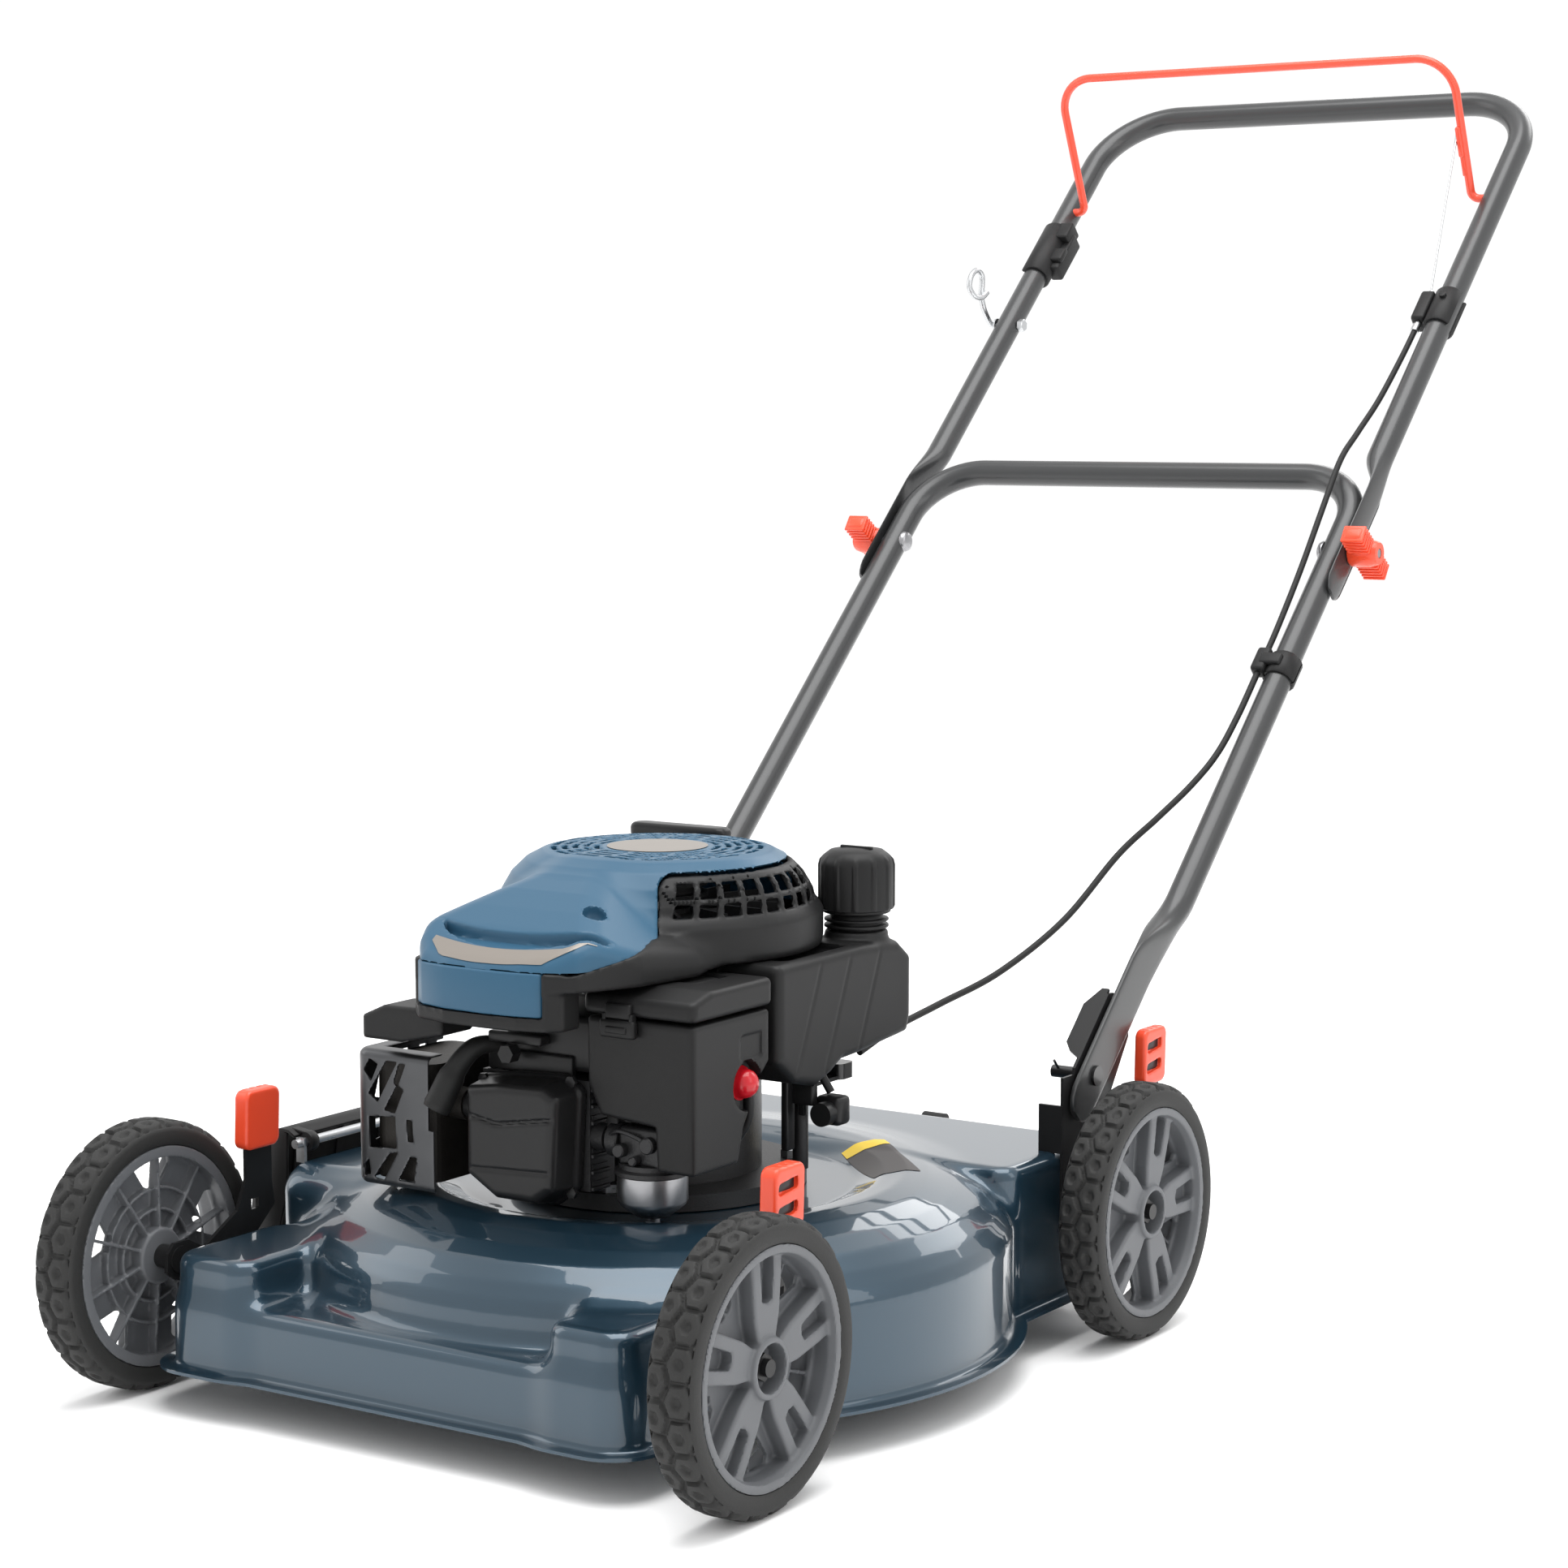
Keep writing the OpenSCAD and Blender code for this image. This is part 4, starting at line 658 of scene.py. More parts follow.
def airbox():
    xz = [(61, 292), (61, 246), (71, 227), (119, 223), (121, 191), (147, 191), (147, 292)]
    yz = [(109, 300), (109, 191), (160, 191), (167, 215), (190, 250), (199, 258), (199, 300)]
    def f(X, Y, Z):
        d = smax(poly(X, Z, xz) - 3, poly(Y, Z, yz) - 3, 4)
        d = smax(d, Z - 297, 1)
        d = smax(d, -ext(np.hypot(Y - 174, Z - 243) - 18, X, 140, 170, 1), 1.2)
        d = smax(d, -ext(rr(Y, Z, 165, 192, 262, 280, 3), X, 148.6, 170, 0.5), 0.6)
        return d
    V, F = nets(f, (54, 100, 182), (156, 206, 300), 1.9)
    a = Acc().put(V, F)
    # tube and lugs below
    a.put(*tube(spline([(142, 186, 236), (138, 190, 214), (128, 186, 196)], 8), 4.0, 16))
    a.put(*rbox(66, 76, 118, 128, 205, 224, 1.5))
    add("airbox_skin", a.V, a.F, "black_plastic", node="air_filter_box", replaces=("air_filter_box",), smooth=50)
    def g(X, Y, Z):
        zt = 317.5 - np.clip((128 - Y) / 26, 0, 1) * 7
        d = ext(rr(X, Y, 55.8, 152, 103.6, 204, 6), Z, 297.6, zt, 4)
        d = smax(d, -ext(rr(X, Y, 92, 122, 150, 190, 3), Z, 314.6, 330, 1), 1.2)
        d = smin(d, ext(rr(X, Y, 96, 118, 154, 186, 3), Z, 300, 316.2, 1.5), 0.8)
        return d
    V, F = nets(g, (50, 98, 292), (157, 209, 322), 1.7)
    a = Acc().put(V, F)
    a.put(*rbox(78, 100, 99.8, 106, 296, 307, 1.6)).put(*rbox(74, 104, 98.4, 104.9, 282.5, 295.6, 2.2)).put(*rbox(80, 98, 97.2, 100, 286, 291, 1))
    a.put(*rbox(76, 79, 99.5, 106, 290, 300, 1)).put(*rbox(99, 102, 99.5, 106, 290, 300, 1))
    add("airlid_skin", a.V, a.F, "black_plastic", node="air_filter_cover", replaces=("air_filter_cover",), smooth=50)
    a = Acc().put(*lathe([(0, 131.5), (5, 131.5), (5, 140), (12.5, 140), (12.5, 142.4), (11, 143.2), (10.6, 147), (9.4, 150.6), (7, 153.4), (4, 155), (0, 155.6)], (0, 176, 244), (1, 0, 0), 48))
    add("primer_skin", a.V, a.F, "primer_red", node="primer_bulb", replaces=("primer_bulb",), smooth=60)


def valve():
    pts = [(-30, 236), (-30, 176), (-6, 162), (28, 162), (42, 172), (46, 236), (36, 242), (-4, 240)]
    ridge = [(-34, 224), (-4, 214), (48, 222), (48, 219), (-4, 211), (-34, 221)]
    def f(X, Y, Z):
        taper = np.clip((Y - 80) / 26, 0, 1) * 4
        d = ext(poly(X, Z, pts) - 2 - taper, Y, 80, 112, 6)
        d = smin(d, ext(poly(X, Z, pts) - 8, Y, 104.4, 112, 2), 2)
        d = smax(d, -ext(np.abs(Z - (214 + 0.16 * np.abs(X + 4))) - 1.2, Y, 70, 81.6, 0.3), 1.5)
        d = smax(d, -ext(np.abs(Z - 181 - 0.05 * X) - 1.0, Y, 70, 81.0, 0.3), 1.5)
        return d
    V, F = nets(f, (-46, 74, 148), (62, 116, 256), 1.7)
    a = Acc().put(V, F)
    for x, z in ((-33, 240), (46, 246), (46, 166), (-32, 166)):
        a.put(*lathe([(0, 0), (4.6, 0), (4.6, 3), (2.6, 3.4), (0, 3.4)], (x, 104.8, z), (0, -1, 0), 6))
    add("valve_skin", a.V, a.F, "satin_black", node="valve_cover", replaces=("valve_cover",), smooth=50)


def guard_f(X, Y, Z):
    o = ext(rr(X, Y, -142.3, -20, 86.0, 330, 13), Z, 152.8, 254.4, 6)
    d = np.abs(o + 0.9) - 0.9
    keep = np.maximum(X + 71 - 5 * (np.clip((Z - 200) / 14, -1, 1) < 0), Y - 190)
    fl = np.minimum(np.maximum(254 - 6 - Z, 0) * 99, 999)
    d = smax(d, keep, 0.8)
    # top flange is narrow, there is no floor
    depth = np.minimum(X + 142.3, Y - 86)
    d = smax(d, np.where(Z > 248, depth - 17, -9), 0.6)
    d = smax(d, np.where(Z < 158, depth - 3, -9), 0.6)
    q = np.full(np.shape(X), 99.0)
    for pts in ([(-131, 239), (-126, 247), (-119, 244), (-125, 232)], [(-127, 222), (-110, 247), (-101, 247), (-119, 217)], [(-98, 246), (-93, 246), (-100, 230), (-103, 232)],
                [(-112, 211), (-100, 230), (-95, 227), (-103, 210)], [(-127, 204), (-103, 206), (-102, 184), (-126, 182)],
                [(-91, 205), (-87, 205), (-86, 190), (-90, 190)], [(-122, 160), (-108, 178), (-101, 180), (-114, 159)], [(-99, 160), (-88, 178), (-83, 178), (-86, 160)],
                [(-133, 166), (-128, 172), (-127, 162), (-132, 160)]):
        q = np.minimum(q, np.maximum(poly(X, Z, pts) - 0.6, Y - 100))
    for i in range(4):
        y = 110 + i * 21
        for pts in ([(y, 214), (y + 10, 244), (y + 17, 244), (y + 8, 212)], [(y, 182), (y, 204), (y + 12, 205), (y + 12, 184)], [(y - 2, 160), (y + 6, 176), (y + 13, 176), (y + 5, 160)]):
            q = np.minimum(q, np.maximum(poly(Y, Z, pts) - 0.6, X + 126))
    return smax(d, -q, 0.5)


def guard():
    V, F = nets(guard_f, (-145, 83, 149), (-64, 193, 257), 1.15)
    add("guard_skin", V, F, "guard_steel", node="muffler_guard", replaces=("muffler_guard",), smooth=50)


def carb():
    a = Acc()
    a.put(*lathe([(0, 146), (5, 146), (5.5, 151), (12, 151), (15, 153), (24, 160), (25.4, 163), (25.4, 181), (24.6, 181.8), (0, 181.8)], (97, 131, 0), (0, 0, 1), 64))
    add("bowl_skin", a.V, a.F, "bright_alloy", node="carburetor_bowl", replaces=("carburetor_bowl",), smooth=40)
    a = Acc()
    a.put(*lathe([(0, 182), (27, 182), (27, 185), (24, 186.5), (24, 190), (0, 190)], (97, 131, 0), (0, 0, 1), 48))
    a.put(*rbox(79, 117, 113, 147, 188, 217, 4))
    for x, y, z, r, l, ax in ((84, 114, 200, 5, 8, (0, -1, 0)), (108, 114, 206, 6, 7, (0, -1, 0)), (97, 114, 194, 3.4, 9, (0, -1, 0)), (117, 126, 202, 4, 5, (1, 0, 0)), (70, 122, 205, 12.5, 10, (1, 0, 0))):
        a.put(*lathe([(0, 0), (r, 0), (r, l - 1), (r - 1, l), (0, l)], (x, y, z), ax, 24))
    for y, z, rr_ in ((112, 210, 1.6),):
        a.put(*tube(spline([(74, y, z), (84, y - 3, z + 4), (100, y - 2, z), (112, y, z - 8)], 6), rr_, 10))
    add("carb_skin", a.V, a.F, "cast_alloy", node="carburetor", replaces=("carburetor",), smooth=40)


# ------------------------------------------------------------------ wheels
def tyre_mesh():
    """About the X axis, inner face at x = 0."""
    R0, W = 100.0, 36.0
    prof = [(78.4, 9), (78.4, 6.5), (81.5, 5), (82.2, 1.6), (84.5, 0.4), (88, 0.1), (92, 0.2), (94.6, 0.9)]
    sh = np.linspace(0, 1, 34)
    th = np.linspace(-1, 1, len(sh))
    tread = []
    for t in th:
        w = 18 + 16.3 * np.sign(t) * (1 - (1 - abs(t)) ** 1.15)
        r = R0 - 4.8 * abs(t) ** 5
        tread.append((r, w, t))
    k = 480
    an = np.linspace(0, 2 * np.pi, k, endpoint=False)
    R = []
    def ring(r, w):
        r = np.broadcast_to(r, (k,))
        return np.stack([np.full(k, w), r * np.cos(an), r * np.sin(an)], 1)
    for r, w in prof:
        R.append(ring(r, w))
    nc = 26; p = 2 * np.pi * R0 / nc
    for r, w, t in tread:
        u = an * R0 / p
        best = np.full(k, 9.0); sec = np.full(k, 9.0)
        for row, cv in ((0, 9.3), (0.5, 26.7), (0.5, -6.5), (0, 42.5)):
            for off in (-1, 0, 1):
                uc = np.round(u - row) + row + off
                du = (u - uc) * p / 11.8; dv = (w - cv) / 10.0
                q = np.maximum(np.abs(du), np.abs(du) * 0.5 + np.abs(dv) * 0.92)
                new = q < best
                sec = np.where(new, best, np.minimum(sec, q)); best = np.where(new, q, best)
        edge = np.clip((0.93 - best) / 0.10, 0, 1)           # lug top inside its border groove
        dim = np.clip((0.40 - best) / 0.14, 0, 1)            # dimple in the middle of each lug
        hgt = -3.0 * (1 - edge) - 2.2 * dim
        fade = np.clip((1.0 - abs(t)) / 0.04, 0, 1) if abs(t) > 0.96 else 1
        R.append(ring(np.minimum(r + hgt * fade, R0), w))
    for r, w in prof[::-1]:
        R.append(ring(r, W - w))
    V, F = rings(R + [R[0]], close=False)
    return V, F


def rim_mesh():
    def f(X, Y, Z):
        R = np.hypot(Y, Z); A = np.arctan2(Z, Y)
        s = 2 * np.pi / 5
        B = (A + s / 2) % s - s / 2
        px, py = R * np.cos(B), np.abs(R * np.sin(B))
        C = (A) % s - s / 2
        qx, qy = R * np.cos(C), np.abs(R * np.sin(C))
        barrel = poly(R, X, [(74.2, 1.5), (81.0, 1.5), (81.0, 5.2), (77.2, 7.4), (77.2, 28.6), (81.0, 30.8), (81.0, 34.5), (76.4, 34.2), (74.6, 29), (74.6, 9)]) - 0.6
        web = smax(smax(np.abs(X - 16.5 + R * 0.02) - 1.7, R - 77, 1), 18 - R, 1)
        win = poly(qx, qy, [(50, -2), (71, -2), (71, 16), (66, 17), (50, 5)]) - 1.5
        web = smax(web, -win, 1)
        d = smin(barrel, web, 2.5)
        hub = smax(R - 21, np.abs(X - 17.5) - 16, 2.5)
        d = smin(d, hub, 3.5)
        # raised U-shaped spoke
        sp = poly(px, py, [(18, -5), (77, -5), (77, 17.5), (50, 14.8), (34, 13.2), (18, 9)]) - 1
        sp = smax(sp, np.abs(X - 22) - 8 + np.maximum(0, R - 62) * 0.05, 2.2)
        pk = poly(px, py, [(43, -5), (90, -5), (90, 7.2), (60, 5.6), (46, 4.4)]) - 1.6
        sp = smax(sp, -smax(pk, 20.5 - X, 1), 1.2)
        d = smin(d, sp, 2.0)
        # ribs on the inner side
        rib = np.minimum(py, qy)
        inner = smax(smax(rib - 1.1, R - 76, 1), np.abs(X - 10.5) - 6.5 + np.maximum(0, R - 30) * 0.06, 0.8)
        inner = smax(inner, 18 - R, 1)
        d = smin(d, inner, 1.2)
        for rg in (34.0, 50.0):
            ringr = smax(np.abs(R - rg) - 1.1, np.abs(X - 11.5) - 4.5, 0.6)
            ringr = smax(ringr, -smax(win, 8 - X, 1), 0.6)
            d = smin(d, ringr, 1.2)
        # bores
        d = smax(d, -smax(R - 16.8, 19.6 - X, 0.8), 0.8)
        d = smax(d, -(R - 6.15), 0.3)
        return d
    return nets(f, (-1, -84, -84), (37, 84, 84), 1.35)


def wheels():
    T = tyre_mesh(); Rm = rim_mesh()
    for w, sx, x0, y in (("fl", 1, 253, 0), ("fr", -1, 253, 0), ("rl", 1, 259.4, 526.6), ("rr", -1, 259.4, 526.6)):
        for nm, (V, F), mat in (("tyre", T, "tread"), ("rim", Rm, "wheel_grey")):
            P = np.asarray(V).copy()
            P[:, 0] += x0
            # each wheel stands at its own turn
            a = {"fl": 1.57, "fr": 0.9, "rl": 0.06, "rr": 1.3}[w]
            c, s = math.cos(a), math.sin(a)
            P[:, 1], P[:, 2] = c * P[:, 1] - s * P[:, 2], s * P[:, 1] + c * P[:, 2]
            P[:, 0] *= sx; P[:, 1] += y; P[:, 2] += 100
            FF = F if sx > 0 else [f[::-1] for f in F]
            add("%s_skin_%s" % (nm, w), P, FF, mat, node="%s_%s" % (nm, w), replaces=("%s_%s" % (nm, w),), smooth=42 if nm == "tyre" else 46)


def grips():
    for w, sx, lp, ay, g in (("fl", 1, 236, 0, (86, 90)), ("fr", -1, 236, 0, (86, 90)), ("rl", 1, 245, 526.6, (77, 106)), ("rr", -1, 245, 526.6, (77, 106))):
        ti = 2.4 if lp > 240 else 5.6
        cx = lp + 4 - ti / 2 + 0.0
        def f(X, Y, Z):
            # leaning outline, two long windows
            y = Y - g[0] - (Z - g[1]) * 0.04; z = Z - g[1]
            d = ext(rr(y, z, -18.6, 18.6, -21.6, 23.6, 7), X, lp - ti, lp + 8, 2.6)
            for zc in (-6.5, 10):
                d = smax(d, -ext(rr(y, z - zc - y * 0.12, -14, 9.5, -4.2, 4.2, 2.6), X, lp + 4.6, lp + 20, 0.4), 0.8)
            for yc in (-12, -4, 4, 12):
                d = smax(d, -capsule(X, Y, Z, (lp + 2, g[0] + yc, g[1] + 24.4), (lp + 9, g[0] + yc, g[1] + 24.4), 1.5), 0.6)
            return d
        V, F = nets(f, (lp - ti - 2, g[0] - 23, g[1] - 26), (lp + 10, g[0] + 23, g[1] + 28), 1.15)
        P = np.asarray(V).copy(); P[:, 0] *= sx; P[:, 1] += ay; P[:, 2] += 100
        FF = F if sx > 0 else [q[::-1] for q in F]
        add("grip_skin_" + w, P, FF, "orange_plastic", node="grip_" + w, replaces=("grip_" + w,), smooth=50)
        # dark window floors
        for zc in (-6.5, 10):
            V, F = rbox(lp + 4.4, lp + 4.9, g[0] - 13, g[0] + 9, g[1] + zc - 3.6, g[1] + zc + 3.6, 0.1)
            V = np.asarray(V); V[:, 0] *= sx; V[:, 1] += ay; V[:, 2] += 100
            add("grip_floor_%s_%d" % (w, zc > 0), V, F, "satin_black", node="grip_" + w, smooth=180)


# ------------------------------------------------------------------ handles
def ellipse(c, ax, an, e=2.0, k=28):
    t = np.linspace(0, 2 * np.pi, k, endpoint=False)
    q = 2.0 / e
    return np.stack([c[0] + ax * np.sign(np.cos(t)) * np.abs(np.cos(t)) ** q, np.full(k, c[1]), c[2] + an * np.sign(np.sin(t)) * np.abs(np.sin(t)) ** q], 1)


def sm(t):
    t = np.clip(t, 0, 1)
    return t * t * (3 - 2 * t)


def handles():
    k = 28
    a = Acc()
    # lower: cross bar and legs down to the S-bend
    P = filleted([(-228, -470, 0), (-228, 0, 0), (228, 0, 0), (228, -470, 0)], 60, 16)
    a.put(*tube(hnd(dense(P, 16)), 12, k))
    for m in (-1, 1):
        R = []
        for s in np.concatenate([np.arange(-470, -620, -6.0), [-640, -700, -722, -730, -734.5, -737]]):
            u = (-495 - s) / 100
            n = 28.2 * sm(u); fl = sm((-520 - s) / 70)
            hw = 12 + 7 * fl
            if s < -718:
                hw *= math.sqrt(max(0.03, 1 - ((-718 - s) / 19.6) ** 2)) * 0.9 + 0.1
            R.append(ellipse((m * (228 + 9.6 * fl), s, n), 12 - 9.7 * fl, hw, 2 + 4 * fl, k))
        a.put(*xf(rings(R), hnd))
    add("lower_handle_skin", a.V, a.F, "handle_paint", node="lower_handle", replaces=("lower_handle",), smooth=44)
    a = Acc()
    P = filleted([(-231.5, 40, 0), (-231.5, 526.7, 0), (231.5, 526.7, 0), (231.5, 40, 0)], 74, 18)
    a.put(*tube(hnd(dense(P, 16)), 12, k))
    for m in (-1, 1):
        R = []
        for s in list(np.arange(40, -40, -4.0)) + [-60, -94, -120, -134, -139, -143, -145.5]:
            fl = sm((26 - s) / 52)
            hw = 12 + 2.8 * fl
            if s < -130:
                hw *= math.sqrt(max(0.05, 1 - ((-130 - s) / 17) ** 2)) * 0.85 + 0.15
            th = 12 - 10.3 * fl
            c = ellipse((231.5 + 10.2 * fl, s, 0), th, hw, 2 + 1.2 * fl, k)
            # shallow half-round pressing that stays outside the lower tube
            bow = (c[:, 2] / 14.8) ** 2 * 1.4 * fl
            c[:, 0] = np.maximum(c[:, 0] - bow * (c[:, 0] > 231.5 + 10.2 * fl), 240.35 if fl > 0.99 else -9)
            c[:, 0] *= m
            R.append(c)
        a.put(*xf(rings(R), hnd))
    add("upper_handle_skin", a.V, a.F, "handle_paint", node="upper_handle", replaces=("upper_handle",), smooth=44)
    # bail: bent rod with a flattened hook piece
    ss, nn = 376.7, 4.1
    rel = rad(114.6) - ANG
    def bl(x, v, w=0.0):
        return (x, ss + v * math.cos(rel) - w * math.sin(rel), nn + v * math.sin(rel) + w * math.cos(rel))
    P = filleted([bl(-228, 0), bl(-210, 0), bl(-210, 141.8), bl(210, 141.8), bl(210, 0), bl(228, 0)], [8, 36, 36, 8], 12)
    a = Acc().put(*tube(hnd(dense(P, 14)), 4, 18))
    def piece(x0, x1, v0, v1, w0, w1, r):
        V, F = rbox(x0, x1, v0, v1, w0, w1, r)
        V = np.array([bl(*p) for p in V])
        a.put(hnd(V), F)
    piece(205.4, 210.6, 44, 74, -6.4, 6.4, 1.6)
    piece(205.6, 210.4, 24, 46, -4.2, 4.2, 1.6)
    add("bail_skin", a.V, a.F, "bail_orange", node="bail", replaces=("bail",), smooth=40)
    # wing knobs
    for nm, m in (("knob_left", 1), ("knob_right", -1)):
        a = Acc()
        tw = rad(12)
        def kn(V):
            V = np.asarray(V, float).copy()
            y, z = V[:, 1].copy(), V[:, 2].copy()
            V[:, 1] = y * math.cos(tw) - z * math.sin(tw) - 94.4; V[:, 2] = y * math.sin(tw) + z * math.cos(tw)
            V[:, 0] *= m
            return hnd(V)
        a.put(*xf(lathe([(0, 244), (11, 244), (12.4, 246), (12.4, 262), (10.5, 269), (9.6, 270.4), (4.4, 270.4), (4.4, 268), (0, 268)], (0, 0, 0), (1, 0, 0), 40), kn))
        for q in (-1, 1):
            a.put(*xf(rbox(247, 265.6, -6.6, 6.6, min(q * 8, q * 33), max(q * 8, q * 33), 4, 4), kn))
            for i in range(5):
                z = q * (12 + i * 4.6)
                a.put(*xf(rbox(246, 267, -8.2, 8.2, z - 1.35, z + 1.35, 1.2, 3), kn))
        add(nm + "_skin", a.V, a.F, "orange_plastic", node=nm, replaces=(nm,), smooth=40)
    # bolt heads
    a = Acc()
    for m in (-1, 1):
        V, F = lathe([(0, 270), (3.9, 270), (3.9, 219), (9.5, 218.6), (9.8, 217), (8.6, 214.4), (6, 212.9), (0, 212.2)], (0, 0, 0), (1, 0, 0), 32)
        V = np.asarray(V).copy(); V[:, 0] *= m; V[:, 1] -= 94.4
        a.put(hnd(V), F)
    add("bolts_skin", a.V, a.F, "bright_alloy", node="handle_bolts", replaces=("handle_bolts",), smooth=40)
    # brackets on the upper handle
    a = Acc()
    def shell(m, s0, s1, r0, r1, a0, a1, cx):
        q = np.linspace(rad(a0), rad(a1), 22)
        R = []
        for s in (s0, s0 + 1.2, s1 - 1.2, s1):
            rr_ = r1 - (1.0 if s in (s0, s1) else 0)
            o = [(m * (cx + rr_ * math.cos(t)), s, rr_ * math.sin(t)) for t in q]
            i = [(m * (cx + r0 * math.cos(t)), s, r0 * math.sin(t)) for t in q[::-1]]
            R.append(np.array(o + i))
        a.put(*xf(rings(R), hnd))
    shell(-1, 282, 350, 12.1, 15.4, 40, 320, 231.5)
    a.put(*xf(rbox(-222, -208, 292, 344, -14, 4, 3), hnd)).put(*xf(rbox(-221, -206, 300, 318, 2, 9, 2.5), hnd)).put(*xf(rbox(-226, -210, 330, 352, -6, 13, 2.5), hnd))
    shell(1, 196, 240, 12.1, 15.2, 30, 330, 231.5)
    a.put(*xf(rbox(205.5, 219, 200, 238, -8, 12, 3), hnd))
    a.put(*xf(lathe([(0, 0), (3.4, 0), (3.4, 3.4), (1, 3.8), (0, 3.8)], (231.5, 226, 14.4), (0, 0, 1), 20), hnd))
    add("brackets_skin", a.V, a.F, "black_plastic", node="bail_brackets", replaces=("bail_brackets",), smooth=40)
    a = Acc()
    cl = Acc(); a = cl
    shell(1, -250, -226, 12.1, 14.8, 0, 352, 228)
    a.put(*xf(rbox(206, 219, -251, -225, 3, 17, 3), hnd)).put(*xf(rbox(212, 232, -244, -232, 12, 18, 2), hnd))
    add("clip_skin", a.V, a.F, "black_plastic", node="cable_clip", replaces=("cable_clip",), smooth=40)
    # rope guide
    a = Acc()
    P = [(-214, 210, 0), (-246, 210, 0), (-251, 210, 3), (-252, 210, 12), (-252, 211, 24), (-252, 216, 36), (-252, 224, 42), (-252, 230, 50), (-252, 226, 60), (-252, 214, 63), (-252, 204, 57), (-250, 203, 46), (-248, 210, 38), (-247, 220, 36)]
    a.put(*tube(hnd(spline(P, 6)), 2.8, 14))
    a.put(*xf(lathe([(0, 0), (6.6, 0), (6.6, 4.6), (5.6, 5.4), (0, 5.4)], (-219, 210, 0), (1, 0, 0), 6), hnd))
    a.put(*xf(lathe([(0, 0), (7.4, 0), (7.4, 1.8), (0, 1.8)], (-246, 210, 0), (1, 0, 0), 32), hnd))
    add("rope_guide_skin", a.V, a.F, "zinc", node="rope_guide", replaces=("rope_guide",), smooth=40)


CU = [(212, 196, 4), (212, 150, 6), (211, 90, 10), (209, 40, 17), (207, 0, 21), (209, -60, 18), (211, -130, 13), (212, -200, 10), (212, -250, 10)]


def cables():
    P = hnd(spline(CU, 10))
    a = Acc().put(*tube(P, 2.7, 14))
    row = lambda p: tuple((np.asarray(p, float) - (0, YS, 0)) * 0.001)
    hrow = lambda *p: row(hnd([p])[0])
    o = add("cable_upper_skin", a.V, a.F, "black_rubber", node="brake_cable_upper", replaces=("brake_cable_upper",), smooth=60, ride=False)
    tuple(hrow(212, 60, 10))
    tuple(hrow(212, -225, 10))
    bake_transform(o)
    a = Acc().put(*tube(hnd([(212, 196, 4), (212, 243, 4)]), 3.0, 14)).put(*tube(hnd([(212, 188, 4.4), (212, 199, 4)]), 4.0, 14))
    add("cable_end_skin", a.V, a.F, "zinc", node="brake_cable_upper", slot="zinc", smooth=60)
    k = np.linspace(0, 1, 15)[:, None]
    a = Acc().put(*tube(np.asarray(hnd([(212, 238, 4)]))[0] * (1 - k) + np.asarray(hnd([(204.4, 391, 62)]))[0] * k, 0.9, 8))
    a.put(*tube(hnd([(204.4, 389, 60), (204.2, 396, 63), (204.0, 400, 66)]), 1.6, 10))
    o = add("cable_wire_skin", a.V, a.F, "zinc", node="brake_cable_upper", slot="zinc", smooth=60, ride=False)
    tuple(hrow(212, 243, 4))
    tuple(hrow(204.4, 388, 60))
    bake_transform(o)
    low = [tuple(hnd(p)) for p in ((212, -248, 10), (211.5, -300, 9.6), (209, -345, 11), (201, -385, 15), (186, -425, 18))]
    low += [(166, 700, 352), (148, 640, 303), (128, 570, 268), (114, 500, 251), (108, 440, 240), (106, 392, 228)]
    a = Acc().put(*tube(spline(low, 12), 2.8, 14))
    o = add("cable_lower_skin", a.V, a.F, "black_rubber", node="brake_cable_lower", replaces=("brake_cable_lower",), smooth=60, ride=False)
    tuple(row(low[1]))
    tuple(row(low[-1]))
    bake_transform(o)
    # starter rope, drawn out between the housing and the grip
    GX, GY, GZ = -52.0, 378.0, 382.0
    zz = np.linspace(GZ - 19, GZ - 6, 14)
    a = Acc().put(*tube(np.stack([0 * zz + GX, 0 * zz + GY - 4, zz], 1), 2.2, 12))
    o = add("rope_skin", a.V, a.F, "rope_fibre", node="starter_rope", replaces=("starter_rope",), smooth=60, ride=False)
    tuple(row((GX, GY - 4, GZ - 18)))
    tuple(row((GX, GY - 4, GZ - 8)))
    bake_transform(o)


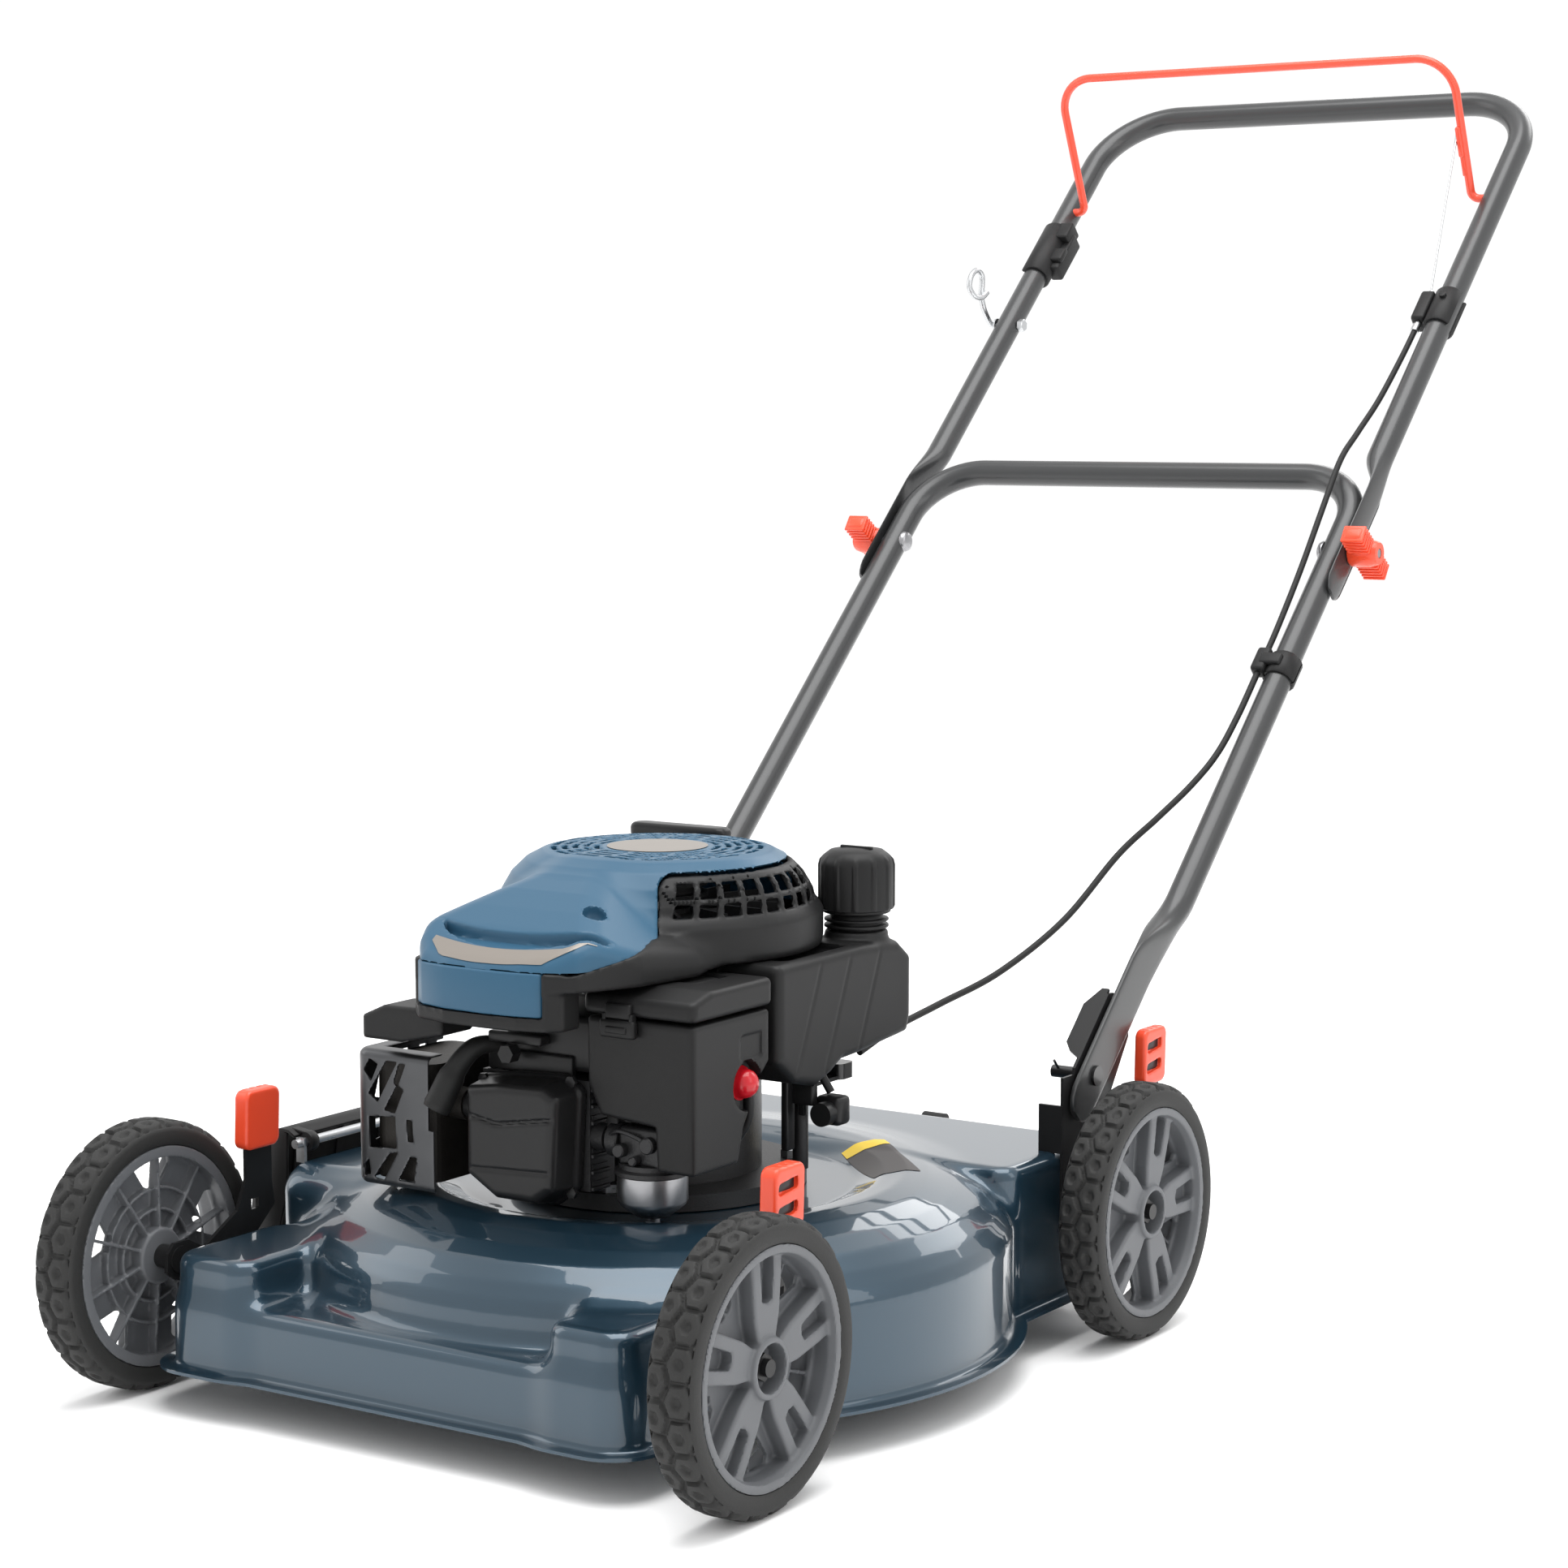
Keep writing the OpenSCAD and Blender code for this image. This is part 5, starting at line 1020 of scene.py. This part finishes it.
# ------------------------------------------------------------------ deck fittings
def engine_bits():
    a = Acc()
    a.put(*rbox(-24, 56, 116, 190, 250, 291, 5)).put(*rbox(-36, 40, 112, 118, 246, 262, 2))
    a.put(*lathe([(0, 0), (7, 0), (7, 10), (0, 10)], (-6, 104, 262), (0, -1, 0), 6)).put(*rbox(-30, 18, 104, 116, 268, 276, 2))
    add("shroud_skin", a.V, a.F, "satin_black", node="cylinder_head", smooth=40)
    P = spline([(-28, 122, 258), (-31, 113, 264), (-40, 101, 262), (-49, 92, 248), (-57, 84, 226), (-60, 81, 218)], 8)
    r = np.interp(np.linspace(0, 1, len(P)), [0, 0.25, 0.4, 0.62, 0.66, 0.9, 1], [7, 6.4, 7.4, 8.4, 10, 10.6, 9.6])
    a = Acc().put(*tube(P, r, 24))
    add("boot_skin", a.V, a.F, "black_rubber", node="spark_plug", replaces=("spark_plug",), smooth=50)
    # finned side of the head and the brake linkage behind the air box
    a = Acc()
    for i in range(7):
        z = 166 + i * 12
        a.put(*rbox(-44, 58, 113, 134, z, z + 3, 0.8))
    add("fins_skin", a.V, a.F, "cast_alloy", node="cylinder_head", smooth=40)
    a = Acc()
    a.put(*prism([(112, 262), (119, 262), (134, 216), (150, 202), (150, 190), (140, 184), (128, 196), (118, 222)], 318, 321, 1, 0.5, 1) if False else rbox(112, 118, 296, 300, 196, 262, 1))
    a.put(*tube([(116, 300, 258), (124, 305, 232), (134, 308, 214)], 3.2, 12)).put(*rbox(124, 146, 300, 318, 190, 212, 4)).put(*lathe([(0, 0), (9, 0), (9, 10), (0, 10)], (136, 300, 200), (0, -1, 0), 28))
    a.put(*rbox(100, 128, 292, 300, 205, 222, 2)).put(*rbox(104, 110, 285, 296, 170, 262, 1.5)).put(*tube([(100, 290, 236), (118, 288, 232), (130, 292, 222)], 2, 10))
    add("linkage_skin", a.V, a.F, "satin_black", node="engine_block", smooth=40)


def fittings():
    # discharge flap, pressed from plate
    prof = [(-237.5, 169), (-244, 172.6), (-252, 173.4), (-262, 170.4), (-271, 163), (-278, 150), (-283, 112), (-288.6, 63)]
    th = 2.6; P = np.array(prof); T = np.gradient(P, axis=0); T /= np.linalg.norm(T, axis=1)[:, None]
    Nn = np.stack([T[:, 1], -T[:, 0]], 1)
    inn = P - Nn * th if (P - Nn * th)[4, 0] > P[4, 0] else P + Nn * th
    a = Acc().put(*prism([tuple(p) for p in P] + [tuple(p) for p in inn[::-1]], 128.4, 391.6, 1, 0.8, 2))
    for y in (128.2, 388.6):
        a.put(*prism([(-246, 170), (-253, 171.6), (-267, 166), (-277, 149), (-287.4, 64), (-262, 72), (-247, 122)], y, y + 3, 1, 0.8, 2))
    for y in (170, 220, 270, 320):
        a.put(*prism([(-250, 172), (-262, 169.6), (-276, 150), (-286, 80), (-283, 80), (-274, 149), (-261, 167), (-250, 169)], y, y + 8, 1, 0.6, 1))
    for y in (134, 366):
        a.put(*lathe([(3.7, 0), (7.4, 0), (7.8, 0.8), (7.8, 7.2), (7.4, 8), (3.7, 8), (3.7, 0)], (-232, y, 164), (0, 1, 0), 32))
        a.put(*prism([(-236, 168), (-233, 171.6), (-246, 173.4), (-246, 167)], y, y + 8, 1, 0.6, 1))
    add("flap_skin", a.V, a.F, "black_plastic", node="discharge_flap", replaces=("discharge_flap",), smooth=35)
    # starter grip
    def f(X, Y, Z):
        x, y, z = X + 52, Y - 378, Z - 382
        d = ext(rr(x, y, -45.6, 45.6, -10.6 + 0 * x, 10.6, 9), z, 1, 14, 5)
        d = smax(d, -(np.hypot(y + 17, z - 7) - 8), 4)
        d = smin(d, ext(np.hypot(x, y + 4) - 6.3, z, -8, 4, 1.5), 4)
        return d
    V, F = nets(f, (-102, 362, 370), (-2, 394, 399), 1.5)
    add("starter_grip_skin", V, F, "satin_black", node="starter_grip", replaces=("starter_grip",), smooth=50)


def dressed():
    """CAD pieces that keep their own mesh get rounded edges and a material."""
    shown = [n for n, o in N.items() if not o.hide_render]
    mats = {"lever_fl": "satin_black", "lever_fr": "satin_black", "lever_rl": "satin_black", "lever_rr": "satin_black", "engine_block": "cast_alloy", "handle_brackets": "satin_black"}
    for n in shown:
        o = N[n]
        m = M[mats.get(n, SLOTS[n])]
        o.data.materials.clear(); o.data.materials.append(m)
        md = o.modifiers.new("bevel", "BEVEL"); md.width = 0.0006; md.segments = 2
        md.limit_method = "ANGLE"; md.angle_limit = rad(40)
        for p in o.data.polygons:
            p.use_smooth = True
        md2 = o.modifiers.new("wn", "WEIGHTED_NORMAL"); md2.keep_sharp = True
        o.data.set_sharp_from_angle(angle=rad(40))


deck()
cover()
housing()
tank()
airbox()
valve()
guard()
carb()
wheels()
grips()
handles()
cables()
engine_bits()
fittings()

# printed patches
decal("label_warn", deck_f, [(86, 398), (158, 330), (180, 362), (104, 432)], "label_dark", "deck", start=170)
decal("label_warn_corner", deck_f, [(86, 398), (98, 387), (117, 420), (104, 432)], "label_yellow", "deck", start=170, lift=0.6)
dressed()

# ------------------------------------------------------------------ stage
fm = new_mat("floor_m", (0.97, 0.97, 0.97), 0.9, spec=0.0)
bpy.ops.mesh.primitive_plane_add(size=120, location=(0, 0, 0))
floor = bpy.context.object
floor.name = "floor"
floor.data.materials.append(fm)

bpy.context.scene.view_settings.view_transform = "Standard"
w = bpy.data.worlds.new("world"); bpy.context.scene.world = w; w.use_nodes = True
bg = w.node_tree.nodes["Background"]
bg.inputs["Color"].default_value = (1, 1, 1, 1)
bg.inputs["Strength"].default_value = 1.04


def area(name, loc, target, sx, sy, power, col=(1, 1, 1)):
    l = bpy.data.lights.new(name, "AREA"); l.shape = "RECTANGLE"; l.size = sx; l.size_y = sy; l.energy = power; l.color = col
    o = bpy.data.objects.new(name, l); bpy.context.scene.collection.objects.link(o)
    o.location = loc
    d = Vector(target) - Vector(loc)
    o.rotation_euler = d.to_track_quat("-Z", "Y").to_euler()


area("top", (0.3, -0.3, 3.2), (0, 0, 0), 2.6, 2.6, 88)
area("left", (-2.6, -1.2, 1.7), (0, -0.2, 0.3), 1.4, 2.0, 14)
area("right", (2.8, -0.2, 1.8), (0, 0, 0.4), 1.2, 2.2, 14)
area("back", (0.2, 3.2, 2.4), (0, 0.4, 0.5), 3.0, 1.2, 30)

cd = bpy.data.cameras.new("cam"); cam = bpy.data.objects.new("cam", cd); bpy.context.scene.collection.objects.link(cam)
cd.sensor_width = 36; cd.lens = 78.43
cam.location = (1.48968, -1.80544 - 0.6745, 0.72277)
cam.rotation_euler = (rad(83.70), 0, rad(33.48))
bpy.context.scene.camera = cam
